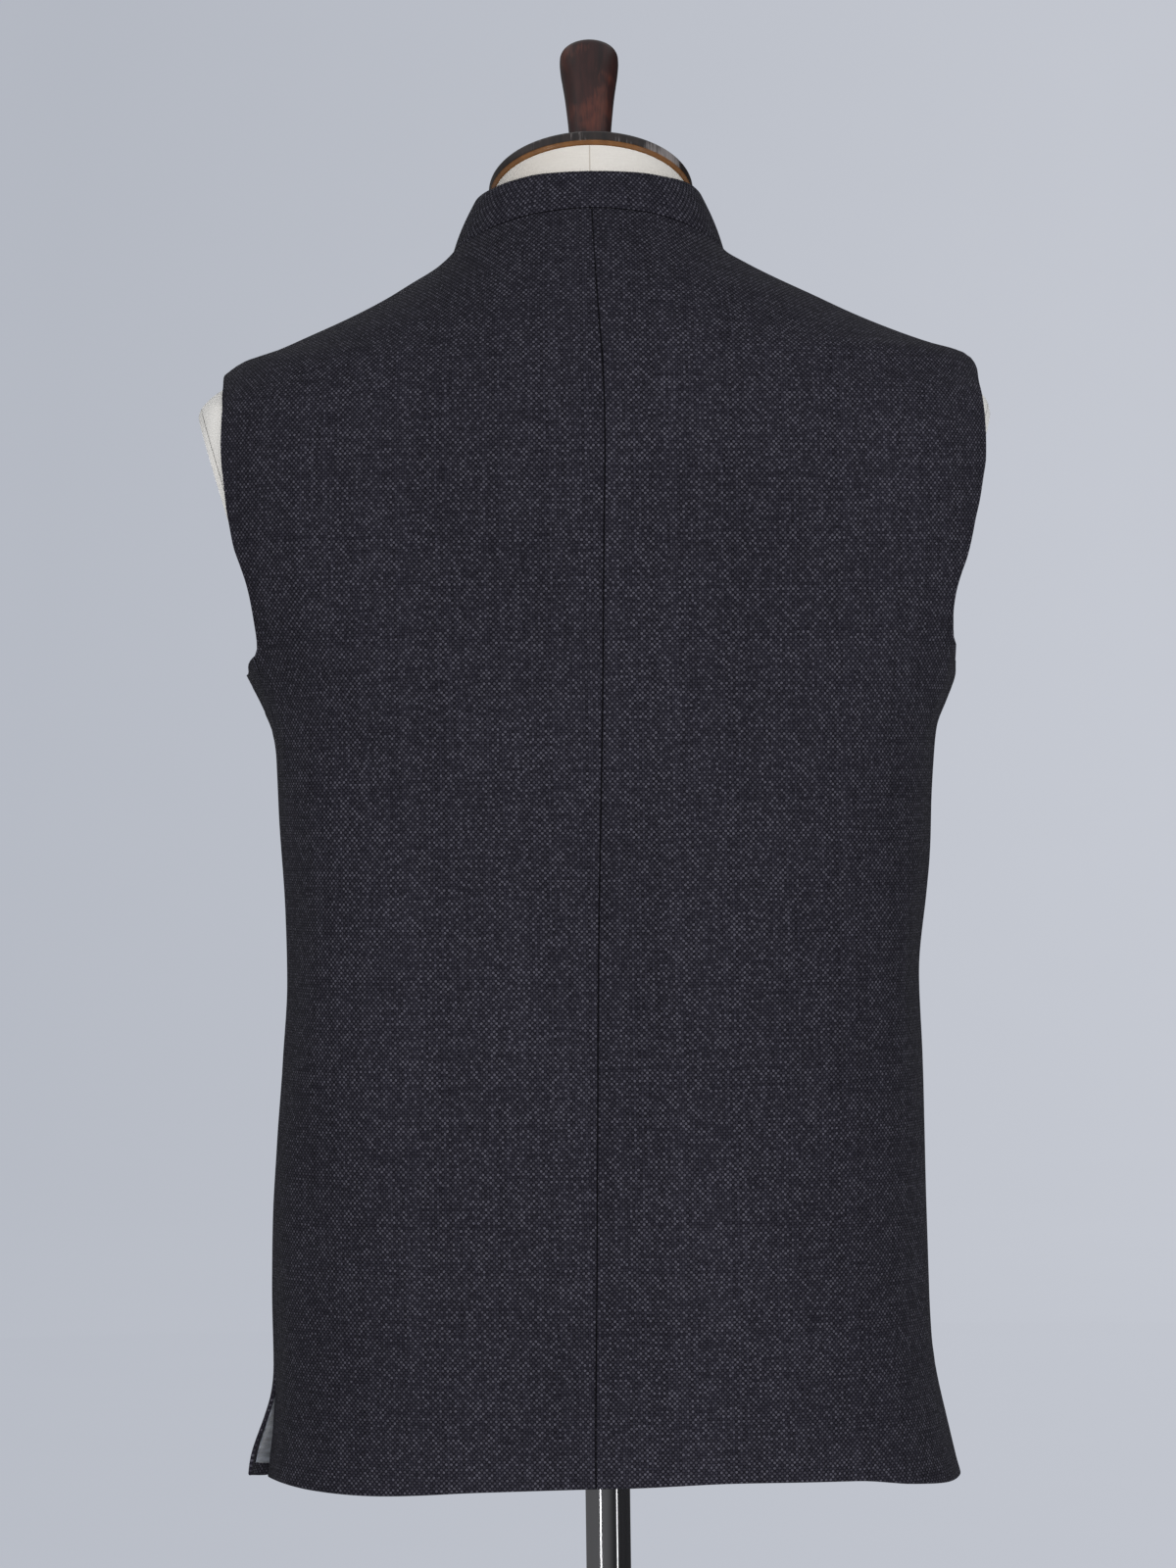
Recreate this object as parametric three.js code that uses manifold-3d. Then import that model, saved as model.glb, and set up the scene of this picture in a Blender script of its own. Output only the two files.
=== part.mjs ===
// A sleeveless waistcoat with a stand collar, worn by a limbless dress form on a round-based pole.
// Millimetres, +Z up. The origin is the centre of the base's underside, on the floor.
// The fronts face -Y and the wearer's left is +X. Heights called up are above the centre-back hem.
import * as THREE from 'three';
import { mergeVertices } from 'three/addons/utils/BufferGeometryUtils.js';
import Module from 'manifold-3d';

const wasm = await Module();
wasm.setup();

// Driving dimensions
const hemHeight = 640;
const wall = 2;
const collarWall = 2.6;
const liningWall = 1;
const seamGap = 0.3;
const neckPoint = 686;
const overlap = 18;
const underLap = { depth: 2.7, from: -90, to: -50 };
const vent = { top: 60, flare: 11, flatTurn: 94 };
const liningFrom = { row: 0.4, column: 0.15 };
const buttonRadius = 7.5;
const buttonThickness = 2.6;
const buttonEdge = 0.5;
const buttonHole = { radius: 0.9, off: 2 };
const buttonHeights = [628, 536, 444, 352, 260];
const neckTilt = THREE.MathUtils.degToRad(28);
const neckRadius = 56;
const neckTop = 715.5;
const capRadius = 58;
const capThickness = 9.4;
const handleLength = 93.6;
const formBottom = 25;
const poleRadius = 12.7;
const poleSocket = 80;
const baseRadius = 190;
const baseThickness = 8;
const hubRadius = 21;
const hubHeight = 34;
const hubFoot = 5;
const collarEnd = { from: 166, to: 179, drop: 9 };
const collarBow = 1.2;
const neckReach = { back: 560, front: 460 };
const hemReach = 80;
const armPlane = {
  tilt: THREE.MathUtils.degToRad(17.2), left: 224.5, right: 226.5, up: 597, above: 60, below: 158, plate: 3,
};

// Horizontal sections of the coat: half widths to the wearer's left and right, the depths along Y
// of the back, of the side line and of the front, and the power of the superellipse.
const coat = table(
  ['up', 'left', 'right', 'back', 'mid', 'front', 'power'],
  [
    [-12, 193.5, 200, 112, -6, -132, 2.6],
    [0, 192.5, 197.5, 112, -6, -132, 2.6],
    [25, 189.9, 192.5, 112.5, -6, -132.5, 2.6],
    [48, 188.6, 188, 113, -6, -133, 2.6],
    [70, 188.3, 185, 113, -6, -133, 2.6],
    [95, 188.4, 183.7, 112.5, -6, -133, 2.6],
    [140, 187.8, 183, 111, -7, -132, 2.65],
    [185, 185.2, 182.4, 107, -7, -130, 2.7],
    [230, 180.9, 181.5, 102, -8, -127.5, 2.75],
    [275, 177.8, 180.3, 99.5, -8, -126.5, 2.75],
    [320, 179, 184, 100, -8, -130, 2.7],
    [365, 181.2, 187.2, 103, -7, -136, 2.6],
    [400, 182.5, 190.6, 107, -6, -140, 2.55],
    [415, 185, 192.8, 109, -6, -142, 2.5],
    [430, 190.5, 198.8, 110.5, -5, -143.5, 2.5],
    [442, 196, 203.4, 112, -5, -144.5, 2.5],
    [452, 201, 205.5, 113, -4, -145.5, 2.5],
    [465, 208, 212, 114.5, -4, -146.5, 2.45],
    [485, 218, 222, 116.5, -3, -147, 2.4],
    [510, 227, 230, 118.5, -3, -145.5, 2.35],
    [540, 231, 233.5, 119.5, -2, -138, 2.3],
    [570, 232, 234, 118.5, -1, -124.5, 2.2],
    [590, 229, 231.5, 116, -1, -112, 2.1],
    [603, 223.5, 227, 113, 0, -102, 2.05],
    [613, 216, 221, 110.5, 0, -94.5, 1.95],
    [621, 207.2, 217.6, 108, 0, -88, 1.9],
    [627, 197.2, 210, 106, 1, -83.5, 1.85],
    [632, 181.3, 193, 104, 1, -80, 1.85],
    [640, 162, 170.6, 101, 2, -74.5, 1.85],
    [650, 138.8, 146.6, 96.5, 3, -68, 1.85],
    [660, 118.4, 125.6, 91.5, 4, -62.5, 1.85],
    [670, 101.3, 104.2, 86, 5, -58, 1.85],
    [678, 87.8, 88.4, 81, 6, -55, 1.9],
    [686, 78.8, 75.2, 76, 7, -52, 2],
    [692, 74.4, 71.4, 71.5, 7, -50, 2],
    [698, 71.2, 69.4, 67.5, 7, -48, 2],
    [706, 68.3, 67.4, 62, 7, -46, 2],
    [716, 66, 65.4, 57, 7, -44, 2],
  ],
);

// The dress form: heights of each ring at the back, side and front, half width, depths, power.
const form = [
  [formBottom, formBottom, formBottom, 171, 99, -6, -120, 2.5],
  [60, 60, 60, 173, 101.5, -6, -121, 2.5],
  [110, 110, 110, 172, 100.5, -6, -119, 2.5],
  [160, 160, 160, 168, 97, -7, -114.5, 2.5],
  [210, 210, 210, 162, 90.5, -8, -109, 2.5],
  [250, 250, 250, 157, 86, -8, -107, 2.5],
  [285, 285, 285, 156, 85, -8, -108, 2.5],
  [325, 325, 325, 159, 87, -8, -113, 2.5],
  [370, 370, 370, 165, 93, -7, -124, 2.5],
  [410, 410, 410, 172, 99, -6, -133, 2.5],
  [440, 440, 440, 178.5, 104, -5, -136.5, 2.45],
  [465, 465, 465, 191, 108, -4, -139.5, 2.4],
  [490, 490, 490, 207, 112, -3, -140, 2.35],
  [515, 515, 515, 219.5, 114, -2, -137.5, 2.3],
  [545, 545, 545, 225.5, 115, -2, -128.5, 2.25],
  [575, 575, 575, 226.5, 113.2, -1, -113.5, 2.15],
  [597, 597, 597, 224.5, 109.3, 0, -99, 2.05],
  [605, 605, 605, 219, 107.5, 0, -93.5, 1.98],
  [612.5, 612.5, 612.5, 208, 105.6, 0, -88, 1.92],
  [621.5, 621.5, 621.5, 188, 103, 0, -81, 1.85],
  [632, 632, 632, 165, 99.3, 1, -73.5, 1.8],
  [643, 643, 643, 145.6, 94.8, 2, -66.5, 1.8],
  [653.8, 653.8, 653.8, 124, 89.6, 3, -61, 1.8],
  [664.5, 664.5, 664.5, 104, 83.8, 4, -57.5, 1.8],
  [684, 675, 662, 82, 72.5, 5, -55, 1.85],
  [697, 684, 668, 70, 63.8, 5, -53, 1.95],
  [708, 692, 674, 62.5, 57, 4, -52, 2],
  [722, 701, 680, 58, 53, 2, -51, 2],
].map(([back, side, front, half, yBack, yMid, yFront, power]) => ({
  back, side, front, half, yBack, yMid, yFront, power,
}));

// Where the centre-back seam runs, to the wearer's left of the middle.
const centreBack = table(
  ['up', 'x'],
  [[0, 6.6], [116, 4.6], [224, 2.7], [299, 1.2], [368, -0.8], [438, -2.8],
    [513, -4.3], [583, -5.8], [621, -4.6], [653, -2.4], [706, 0.2]],
);

// Side seams, as turns about the coat from its centre back.
const sideSeam = table(
  ['up', 'left', 'right'],
  [
    [-12, 80, 82], [100, 78, 80], [275, 76, 79], [372, 74.5, 78.5], [400, 73.5, 78],
    [414, 72.5, 77.5], [425, 71, 77], [440, 68.6, 76.6], [452, 66.2, 75.4], [466, 64, 74],
  ],
);
const seamTop = { left: 458.5, right: 452 };
const shoulderTip = { left: 621.5, right: 626 };

// Half widths at the armhole edges of the backs and of the fronts.
const armhole = table(
  ['up', 'leftBack', 'rightBack', 'leftFront', 'rightFront'],
  [
    [452, 193, 202.7, 201, 206.5],
    [458.5, 192.1, 201.2, 198.5, 205],
    [466, 191.6, 199, 193, 202],
    [476, 192.2, 198.9, 188, 198],
    [487, 193.5, 200.3, 185, 194.5],
    [498, 195.7, 203.4, 183.5, 192.5],
    [508, 198.8, 207.2, 183.5, 192.5],
    [519, 202.4, 210.2, 184.5, 193.5],
    [530, 204.2, 212.6, 186.5, 195.5],
    [541, 205.8, 215.4, 189, 198.5],
    [553, 206.8, 217.6, 192.5, 202],
    [565, 208, 219.6, 196, 206],
    [580, 208.7, 219.9, 200, 210],
    [595, 208.8, 219.3, 204, 213],
    [607, 209.9, 218.2, 207, 215],
    [616, 209.9, 217.6, 208, 215.8],
    [627, 206.5, 213.4, 206.5, 213.4],
  ],
);

// The front's edge under the arm, from the side seam's top forward.
const underarm = [
  { turn: 78, drop: 7.8, centre: 385 },
  { turn: 84, drop: 9, centre: 405 },
  { turn: 92, drop: 9.4, centre: 425 },
  { turn: 103, drop: 6.4, centre: 442 },
  { turn: 113, drop: -2, centre: 458 },
  { turn: 121, drop: -13, centre: 472 },
];
const underarmFrom = 0.8;
const armholeFrom = 482;
const backColumns = 10;
const frontColumns = 12;

// Height of the neckline and of the collar's top edge, and how far the collar leans in.
const neckline = table(
  ['turn', 'up', 'leftTop', 'rightTop', 'lean'],
  [
    [0, 705.6, 726.8, 726.8, 7], [25, 703.4, 726.2, 726.2, 7.6], [45, 698.8, 723.6, 724.4, 8.8],
    [65, 692.3, 719.9, 722.5, 10.6], [80, 688, 717.4, 720.2, 12.4],
    [90, neckPoint, 714.4, 718, 12.8], [112, 682, 706.5, 710.5, 12.8], [135, 666, 691, 692.5, 12],
    [157, 650, 675.5, 675.5, 11.5], [180, 641, 667, 667, 11],
  ],
);

// How far the hem departs from level, by turn.
const hemLine = table(
  ['turn', 'left', 'right'],
  [
    [0, -1.4, -1.4], [20, -2.9, 0.2], [40, -6.2, -1.4], [52, -5.2, -5.8], [68, -3.6, -9],
    [80, -4.8, -9.6], [90, -6.4, -9.6], [125, -5, -7], [180, -6, -6],
  ],
);

// The largest soft folds: each runs between two places on one side and is pushed out or in.
const folds = [
  { side: 1, x1: 186, up1: 462, x2: 100, up2: 350, reach: 24, push: -3 },
  { side: 1, x1: 168, up1: 420, x2: 128, up2: 300, reach: 20, push: 2 },
  { side: -1, x1: 178, up1: 460, x2: 120, up2: 360, reach: 24, push: -2 },
  { side: -1, x1: 178, up1: 360, x2: 130, up2: 250, reach: 22, push: 1.6 },
];

// Colours
const materials = {
  cloth: material(0x2e2d35, 0.95),
  lining: material(0x74787f, 0.45),
  button: material(0x23222a, 0.4),
  cover: material(0xd2ccc6, 0.95),
  wood: material(0x3e2d2c, 0.35),
  steel: material(0xb9bbbf, 0.25, 1),
};

function material(color, roughness, metalness = 0) {
  return new THREE.MeshStandardMaterial({ color, roughness, metalness });
}

function table(keys, rows) {
  return rows.map((row) => Object.fromEntries(keys.map((key, i) => [key, row[i]])));
}

// A smooth curve through one column of a table, flat past its ends.
function curve(rows, from, to) {
  const x = rows.map((row) => row[from]);
  const y = rows.map((row) => row[to]);
  const slopes = x.map((_, i) => {
    if (i === 0 || i === x.length - 1) return 0;
    const before = (y[i] - y[i - 1]) / (x[i] - x[i - 1]);
    const after = (y[i + 1] - y[i]) / (x[i + 1] - x[i]);
    return before * after <= 0 ? 0 : (2 * before * after) / (before + after);
  });
  return (at) => {
    if (at <= x[0]) return y[0];
    if (at >= x[x.length - 1]) return y[x.length - 1];
    let i = 0;
    while (at > x[i + 1]) i += 1;
    const span = x[i + 1] - x[i];
    const s = (at - x[i]) / span;
    const rise = s * s * (3 - 2 * s);
    const start = s * (1 - s) * (1 - s) * slopes[i];
    const end = s * s * (s - 1) * slopes[i + 1];
    return y[i] + rise * (y[i + 1] - y[i]) + span * (start + end);
  };
}

function curves(rows, from) {
  const keys = Object.keys(rows[0]).filter((key) => key !== from);
  return Object.fromEntries(keys.map((key) => [key, curve(rows, from, key)]));
}

const coatAt = curves(coat, 'up');
const seamAt = curves(sideSeam, 'up');
const armholeAt = curves(armhole, 'up');
const necklineAt = curves(neckline, 'turn');
const hemAt = curves(hemLine, 'turn');
const centreBackAt = curve(centreBack, 'up', 'x');

const sideName = (side) => (side > 0 ? 'left' : 'right');
const radians = THREE.MathUtils.degToRad;
const degrees = THREE.MathUtils.radToDeg;
const blend = THREE.MathUtils.smoothstep;
const mix = THREE.MathUtils.lerp;

// A point of a superellipse at a turn in degrees from its back.
function section(turn, half, back, mid, front, power) {
  const s = Math.sin(radians(turn));
  const c = Math.cos(radians(turn));
  const k = (Math.abs(s) ** power + Math.abs(c) ** power) ** (-1 / power);
  return { x: half * k * s, y: mid + (c > 0 ? back - mid : mid - front) * k * c };
}

// The turn at which a section with this half width and power reaches x.
function turnAt(x, half, power) {
  const share = Math.min(x / half, 1) ** power;
  return share >= 1 ? 90 : degrees(Math.atan((share / (1 - share)) ** (1 / power)));
}

// How far the folds push the cloth out at a place.
function foldPush(side, x, up) {
  let push = 0;
  for (const fold of folds) {
    if (fold.side !== side) continue;
    const dx = fold.x2 - fold.x1;
    const dup = fold.up2 - fold.up1;
    const length = Math.hypot(dx, dup);
    const along = ((x - fold.x1) * dx + (up - fold.up1) * dup) / length;
    const across = ((x - fold.x1) * dup - (up - fold.up1) * dx) / length;
    const starts = blend(along, -fold.reach, fold.reach);
    const ends = starts * (1 - blend(along, length - fold.reach, length + fold.reach));
    push += fold.push * ends * Math.exp(-((across / fold.reach) ** 2));
  }
  return push;
}

// A point of the coat's outer surface, before its wall and laps.
function coatPoint(side, turn, up) {
  const half = coatAt[sideName(side)](up);
  const p = section(turn, half, coatAt.back(up), coatAt.mid(up), coatAt.front(up), coatAt.power(up));
  const push = turn < 90 ? foldPush(side, p.x, up) : 0;
  const around = radians(turn);
  const x = side * (p.x + push * Math.sin(around));
  return new THREE.Vector3(x, p.y + push * Math.cos(around), hemHeight + up);
}

function coatNormal(side, turn, up) {
  const around = coatPoint(side, turn + 0.5, up).sub(coatPoint(side, turn - 0.5, up));
  const upward = coatPoint(side, turn, up + 1).sub(coatPoint(side, turn, up - 1));
  return upward.cross(around).multiplyScalar(side).normalize();
}

// A point at a depth below the outer surface.
function coatInside(side, turn, up, depth) {
  return coatPoint(side, turn, up).addScaledVector(coatNormal(side, turn, up), -depth);
}

// The height of a panel's point: its row's level, with the hem's and the neckline's departures.
function heightOf(side, turn, level) {
  const neckFrom = turn < 90 ? neckReach.back : neckReach.front;
  const atNeck = (necklineAt.up(turn) - neckPoint) * blend(level, neckFrom, neckPoint);
  return level + atNeck + hemAt[sideName(side)](turn) * (1 - blend(level, 0, hemReach));
}

// A closed wall between an outer and an inner grid of points.
function wallGeometry(outer, inner) {
  const rows = outer.length;
  const columns = outer[0].length;
  const positions = [...outer.flat(), ...inner.flat()].flatMap((p) => [p.x, p.y, p.z]);
  const at = (row, column, layer) => layer * rows * columns + row * columns + column;
  const index = [];
  const quad = (a, b, c, d) => index.push(a, b, c, a, c, d);
  for (let r = 0; r < rows - 1; r += 1) {
    for (let c = 0; c < columns - 1; c += 1) {
      quad(at(r, c, 0), at(r, c + 1, 0), at(r + 1, c + 1, 0), at(r + 1, c, 0));
      quad(at(r, c, 1), at(r + 1, c, 1), at(r + 1, c + 1, 1), at(r, c + 1, 1));
    }
    quad(at(r, 0, 1), at(r, 0, 0), at(r + 1, 0, 0), at(r + 1, 0, 1));
    quad(at(r, columns - 1, 0), at(r, columns - 1, 1), at(r + 1, columns - 1, 1), at(r + 1, columns - 1, 0));
  }
  for (let c = 0; c < columns - 1; c += 1) {
    quad(at(0, c, 0), at(0, c, 1), at(0, c + 1, 1), at(0, c + 1, 0));
    quad(at(rows - 1, c, 1), at(rows - 1, c, 0), at(rows - 1, c + 1, 0), at(rows - 1, c + 1, 1));
  }
  return facingOut(positions, index);
}

function facingOut(positions, index) {
  const [a, b, c] = [new THREE.Vector3(), new THREE.Vector3(), new THREE.Vector3()];
  let volume = 0;
  for (let i = 0; i < index.length; i += 3) {
    a.fromArray(positions, index[i] * 3);
    b.fromArray(positions, index[i + 1] * 3);
    c.fromArray(positions, index[i + 2] * 3);
    volume += a.dot(b.cross(c));
  }
  if (volume < 0) index.reverse();
  const geometry = new THREE.BufferGeometry();
  geometry.setAttribute('position', new THREE.Float32BufferAttribute(positions, 3));
  geometry.setIndex(index);
  geometry.computeVertexNormals();
  return geometry;
}

function steps(from, to, count) {
  return Array.from({ length: count }, (_, i) => mix(from, to, (i + 1) / count));
}

// The levels of a panel's rows from hem to neckline, closer where the outline turns.
function levelsTo(top, tip) {
  return {
    side: [0, ...steps(0, 60, 3), ...steps(60, 400, 9), ...steps(400, top, 4)],
    armhole: [...steps(top, 600, 8), ...steps(600, tip, 3)],
    shoulder: steps(tip, neckPoint, 6),
  };
}

const halfGapTurn = (side, up) => degrees(seamGap / 2 / coatAt[sideName(side)](up));
const ridgeGap = (up) => degrees(seamGap / 2 / (coatAt.back(up) - coatAt.mid(up)));

function backRows(side) {
  const name = sideName(side);
  const levels = levelsTo(seamTop[name], shoulderTip[name]);
  const edgeTurn = (up) => turnAt(armholeAt[`${name}Back`](up), coatAt[name](up), coatAt.power(up));
  return [
    ...levels.side.map((up) => ({ up, turn: seamAt[name](up) - 1.5 * halfGapTurn(side, up) })),
    ...levels.armhole.map((up) => ({ up, turn: Math.min(edgeTurn(up), 90 - ridgeGap(up)) })),
    ...levels.shoulder.map((up) => ({ up, turn: 90 - ridgeGap(up) })),
  ].map((row) => ({ ...row, centre: row.up }));
}

function frontRows(side) {
  const name = sideName(side);
  const top = seamTop[name];
  const levels = levelsTo(top, shoulderTip[name]);
  const edgeTurn = (up) => 180 - turnAt(armholeAt[`${name}Front`](up), coatAt[name](up), coatAt.power(up));
  return [
    ...levels.side.map((up) => ({
      up, turn: seamAt[name](up) + 1.5 * halfGapTurn(side, up), centre: up * underarmFrom,
    })),
    ...underarm.map((row) => ({ up: top - row.drop, turn: row.turn, centre: row.centre })),
    ...levels.armhole.filter((up) => up > armholeFrom).map((up) => ({
      up, turn: Math.max(edgeTurn(up), 90 + ridgeGap(up)), centre: up,
    })),
    ...levels.shoulder.map((up) => ({ up, turn: 90 + ridgeGap(up), centre: up })),
  ];
}

// Points of a panel: each row runs from its edge to the centre line.
function panelGrid(side, rows, columns, centreTurn, place) {
  return rows.map((row) => Array.from({ length: columns + 1 }, (_, i) => {
    const across = i / columns;
    const turn = mix(row.turn, centreTurn(row.centre), across);
    return place(turn, heightOf(side, turn, mix(row.up, row.centre, across)), across);
  }));
}

// The turn of a front's edge, past the centre front by the overlap.
function frontCentre(side, up) {
  return 180 + degrees(overlap / coatAt[sideName(side)](up));
}

function backPanel(side) {
  const seam = (up) => degrees((side * centreBackAt(up)) / coatAt[sideName(side)](up));
  const centre = (up) => seam(up) + halfGapTurn(side, up);
  const rows = backRows(side);
  const grid = (depth) => panelGrid(side, rows, backColumns, centre, (turn, up) => (
    coatInside(side, turn, up, depth)));
  return wallGeometry(grid(0), grid(wall));
}

// How far a front lies out at its vent, or in where the other front laps over it.
function frontShift(side, turn, up) {
  if (side > 0) {
    const opened = (1 - blend(up, 0, vent.top)) ** 1.2;
    return vent.flare * opened * (1 - blend(turn, sideSeam[0].left, vent.flatTurn));
  }
  const past = coatPoint(side, turn, up).x;
  return turn > vent.flatTurn ? -underLap.depth * blend(past, underLap.from, underLap.to) : 0;
}

function frontPoint(side, turn, up, depth) {
  return coatInside(side, turn, up, depth - frontShift(side, turn, up));
}

function frontPanel(side) {
  const centre = (up) => frontCentre(side, up);
  const rows = frontRows(side);
  const grid = (depth) => panelGrid(side, rows, frontColumns, centre, (turn, up) => (
    frontPoint(side, turn, up, depth)));
  return wallGeometry(grid(0), grid(wall));
}

// The lining of the left vent, on the inner points of the front from near its edge and its hem.
function ventLining() {
  const rows = frontRows(1);
  const panel = (depth) => panelGrid(1, rows, frontColumns, (up) => frontCentre(1, up), (turn, up) => (
    frontPoint(1, turn, up, wall + seamGap + depth)));
  const shares = { row: [liningFrom.row, 1, 2, 3, 4], column: [liningFrom.column, 1, 2, 3] };
  const grid = (depth) => {
    const points = panel(depth);
    return shares.row.map((row) => shares.column.map((column) => {
      const [r, c] = [Math.floor(row), Math.floor(column)];
      const low = points[r][c].clone().lerp(points[r][c + 1], column - c);
      const high = points[r + 1][c].clone().lerp(points[r + 1][c + 1], column - c);
      return low.lerp(high, row - r);
    }));
  };
  return wallGeometry(grid(0), grid(liningWall));
}

// The collar stands on the neckline and leans in towards the neck.
function collarGeometry() {
  const bandRows = [0, 0.25, 0.5, 0.75, 1];
  const frontTurns = (side) => steps(90, frontCentre(side, necklineAt.up(180)), frontColumns)
    .filter((turn) => turn < collarEnd.to);
  const turns = [
    ...frontTurns(-1).map((turn) => -turn).reverse(),
    -90, ...steps(-90, 90, 2 * backColumns), ...frontTurns(1),
  ];
  const point = (signed, share, depth) => {
    const side = signed < 0 ? -1 : 1;
    const turn = Math.abs(signed);
    const from = coatPoint(side, turn, necklineAt.up(turn));
    const top = necklineAt[`${sideName(side)}Top`](turn);
    const rounded = top - collarEnd.drop * blend(turn, collarEnd.from, collarEnd.to) ** 2;
    const inward = new THREE.Vector3(-side * Math.sin(radians(turn)), -Math.cos(radians(turn)), 0);
    const bow = collarBow * Math.sin(Math.PI * share);
    const up = mix(necklineAt.up(turn) + 2 * seamGap, rounded, share);
    return new THREE.Vector3(from.x, from.y, hemHeight + up)
      .addScaledVector(inward, necklineAt.lean(turn) * share + depth - bow);
  };
  const grid = (depth) => bandRows.map((share) => turns.map((turn) => point(turn, share, depth)));
  return wallGeometry(grid(0), grid(collarWall));
}

// The form's rings, tilted towards the neck, closed by a flat bottom and a flat neck top.
function formGeometry() {
  const segments = 48;
  const rings = [...form, {
    back: neckTop + neckRadius * Math.sin(neckTilt), side: neckTop,
    front: neckTop - neckRadius * Math.sin(neckTilt), half: neckRadius,
    yBack: neckRadius * Math.cos(neckTilt), yMid: 0, yFront: -neckRadius * Math.cos(neckTilt), power: 2,
  }];
  const points = rings.flatMap((ring) => Array.from({ length: segments }, (_, i) => {
    const turn = (360 * i) / segments;
    const p = section(turn, ring.half, ring.yBack, ring.yMid, ring.yFront, ring.power);
    const c = Math.cos(radians(turn));
    const tilt = (ring.back - ring.front) / 2;
    const bend = (ring.back + ring.front) / 2 - ring.side;
    const up = ring.side + tilt * c + bend * c * c;
    return [p.x, p.y, hemHeight + up];
  }));
  points.push([0, 0, hemHeight + formBottom], [0, 0, hemHeight + neckTop]);
  const [bottom, top] = [points.length - 2, points.length - 1];
  const index = [];
  for (let i = 0; i < segments; i += 1) {
    const next = (i + 1) % segments;
    for (let r = 0; r < rings.length - 1; r += 1) {
      const [a, b] = [r * segments + i, r * segments + next];
      index.push(a, b, b + segments, a, b + segments, a + segments);
    }
    const last = (rings.length - 1) * segments;
    index.push(bottom, next, i, top, last + i, last + next);
  }
  return facingOut(points.flat(), index);
}

function solidOf(geometry) {
  const bare = geometry.clone();
  bare.deleteAttribute('normal');
  bare.deleteAttribute('uv');
  const merged = mergeVertices(bare, 1e-4);
  return new wasm.Manifold(new wasm.Mesh({
    numProp: 3,
    vertProperties: new Float32Array(merged.attributes.position.array),
    triVerts: new Uint32Array(merged.index.array),
  }));
}

function geometryOf(solid) {
  const { vertProperties, triVerts, numProp } = solid.getMesh();
  const geometry = new THREE.BufferGeometry();
  const positions = Array.from(vertProperties).filter((_, i) => i % numProp < 3);
  geometry.setAttribute('position', new THREE.Float32BufferAttribute(positions, 3));
  geometry.setIndex(Array.from(triVerts));
  geometry.computeVertexNormals();
  return geometry;
}

// A block whose inner face lies in the arm plane, moved out by a distance.
function armBlock(side, moved, depth, longer = 0) {
  const above = armPlane.above + longer;
  const below = armPlane.below + longer;
  const block = new THREE.BoxGeometry(depth, 2 * armPlane.left, above + below)
    .translate(depth / 2 + moved, 0, (above - below) / 2);
  block.rotateY(armPlane.tilt);
  block.translate(armPlane[sideName(side)], 0, hemHeight + armPlane.up);
  if (side < 0) block.rotateZ(Math.PI);
  return solidOf(block);
}

function poleBore() {
  const bore = new THREE.CylinderGeometry(poleRadius + seamGap, poleRadius + seamGap, 2 * poleSocket, 40);
  bore.rotateX(Math.PI / 2).translate(0, 0, hemHeight + formBottom);
  return solidOf(bore);
}

function formPieces() {
  const whole = solidOf(formGeometry());
  const { plate } = armPlane;
  const body = [1, -1]
    .reduce((solid, side) => solid.subtract(armBlock(side, -plate - seamGap, armPlane.left, seamGap)), whole)
    .subtract(poleBore());
  const plates = [1, -1].map((side) => whole.intersect(armBlock(side, -plate, plate)));
  return { body, plates };
}

// A turned piece from its radii and heights, on the tilted axis of the neck.
function turnedOnNeck(profile, segments) {
  const points = profile.map(([radius, height]) => new THREE.Vector2(radius, height));
  const turned = new THREE.LatheGeometry(points, segments).rotateX(Math.PI / 2);
  return turned.rotateX(neckTilt).translate(0, 0, hemHeight + neckTop);
}

function neckCap() {
  const low = seamGap;
  const high = seamGap + capThickness;
  return turnedOnNeck([
    [0, low], [capRadius - 2, low], [capRadius - 0.4, low + 1.6], [capRadius, low + 3],
    [capRadius, low + 6.8], [capRadius - 0.8, low + 8.2], [capRadius - 2.4, high - 0.3],
    [capRadius - 6, high], [0, high],
  ], 56);
}

function neckHandle() {
  const foot = capThickness + 2 * seamGap;
  const profile = [
    [0, 0], [9.6, 0], [10.4, 1.5], [10.6, 6], [10.9, 14], [11.5, 26], [12.3, 40], [13.2, 51], [14.3, 62],
    [15.6, 72], [16.5, 79], [16.9, 85.2], [16.9, 88.6], [16.4, 91.1], [15, 92.7], [11, 93.4],
    [0, handleLength],
  ];
  return turnedOnNeck(profile.map(([radius, height]) => [radius, foot + height]), 32);
}

// A flat button with four holes, its back on the outer cloth at the centre front.
function button(up) {
  const disc = new THREE.Shape().absarc(0, 0, buttonRadius - buttonEdge, 0, 2 * Math.PI);
  for (const corner of [45, 135, 225, 315].map(radians)) {
    const [x, y] = [buttonHole.off * Math.cos(corner), buttonHole.off * Math.sin(corner)];
    disc.holes.push(new THREE.Path().absarc(x, y, buttonHole.radius, 0, 2 * Math.PI));
  }
  const disk = new THREE.ExtrudeGeometry(disc, {
    depth: buttonThickness - 2 * buttonEdge, bevelThickness: buttonEdge, bevelSize: buttonEdge,
    bevelSegments: 1, curveSegments: 5,
  }).translate(0, 0, buttonEdge + seamGap);
  const seat = frontPoint(1, 180, up, 0);
  const outward = coatNormal(1, 180, up);
  const turned = new THREE.Quaternion().setFromUnitVectors(new THREE.Vector3(0, 0, 1), outward);
  return disk.applyQuaternion(turned).translate(seat.x, seat.y, seat.z);
}

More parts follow.
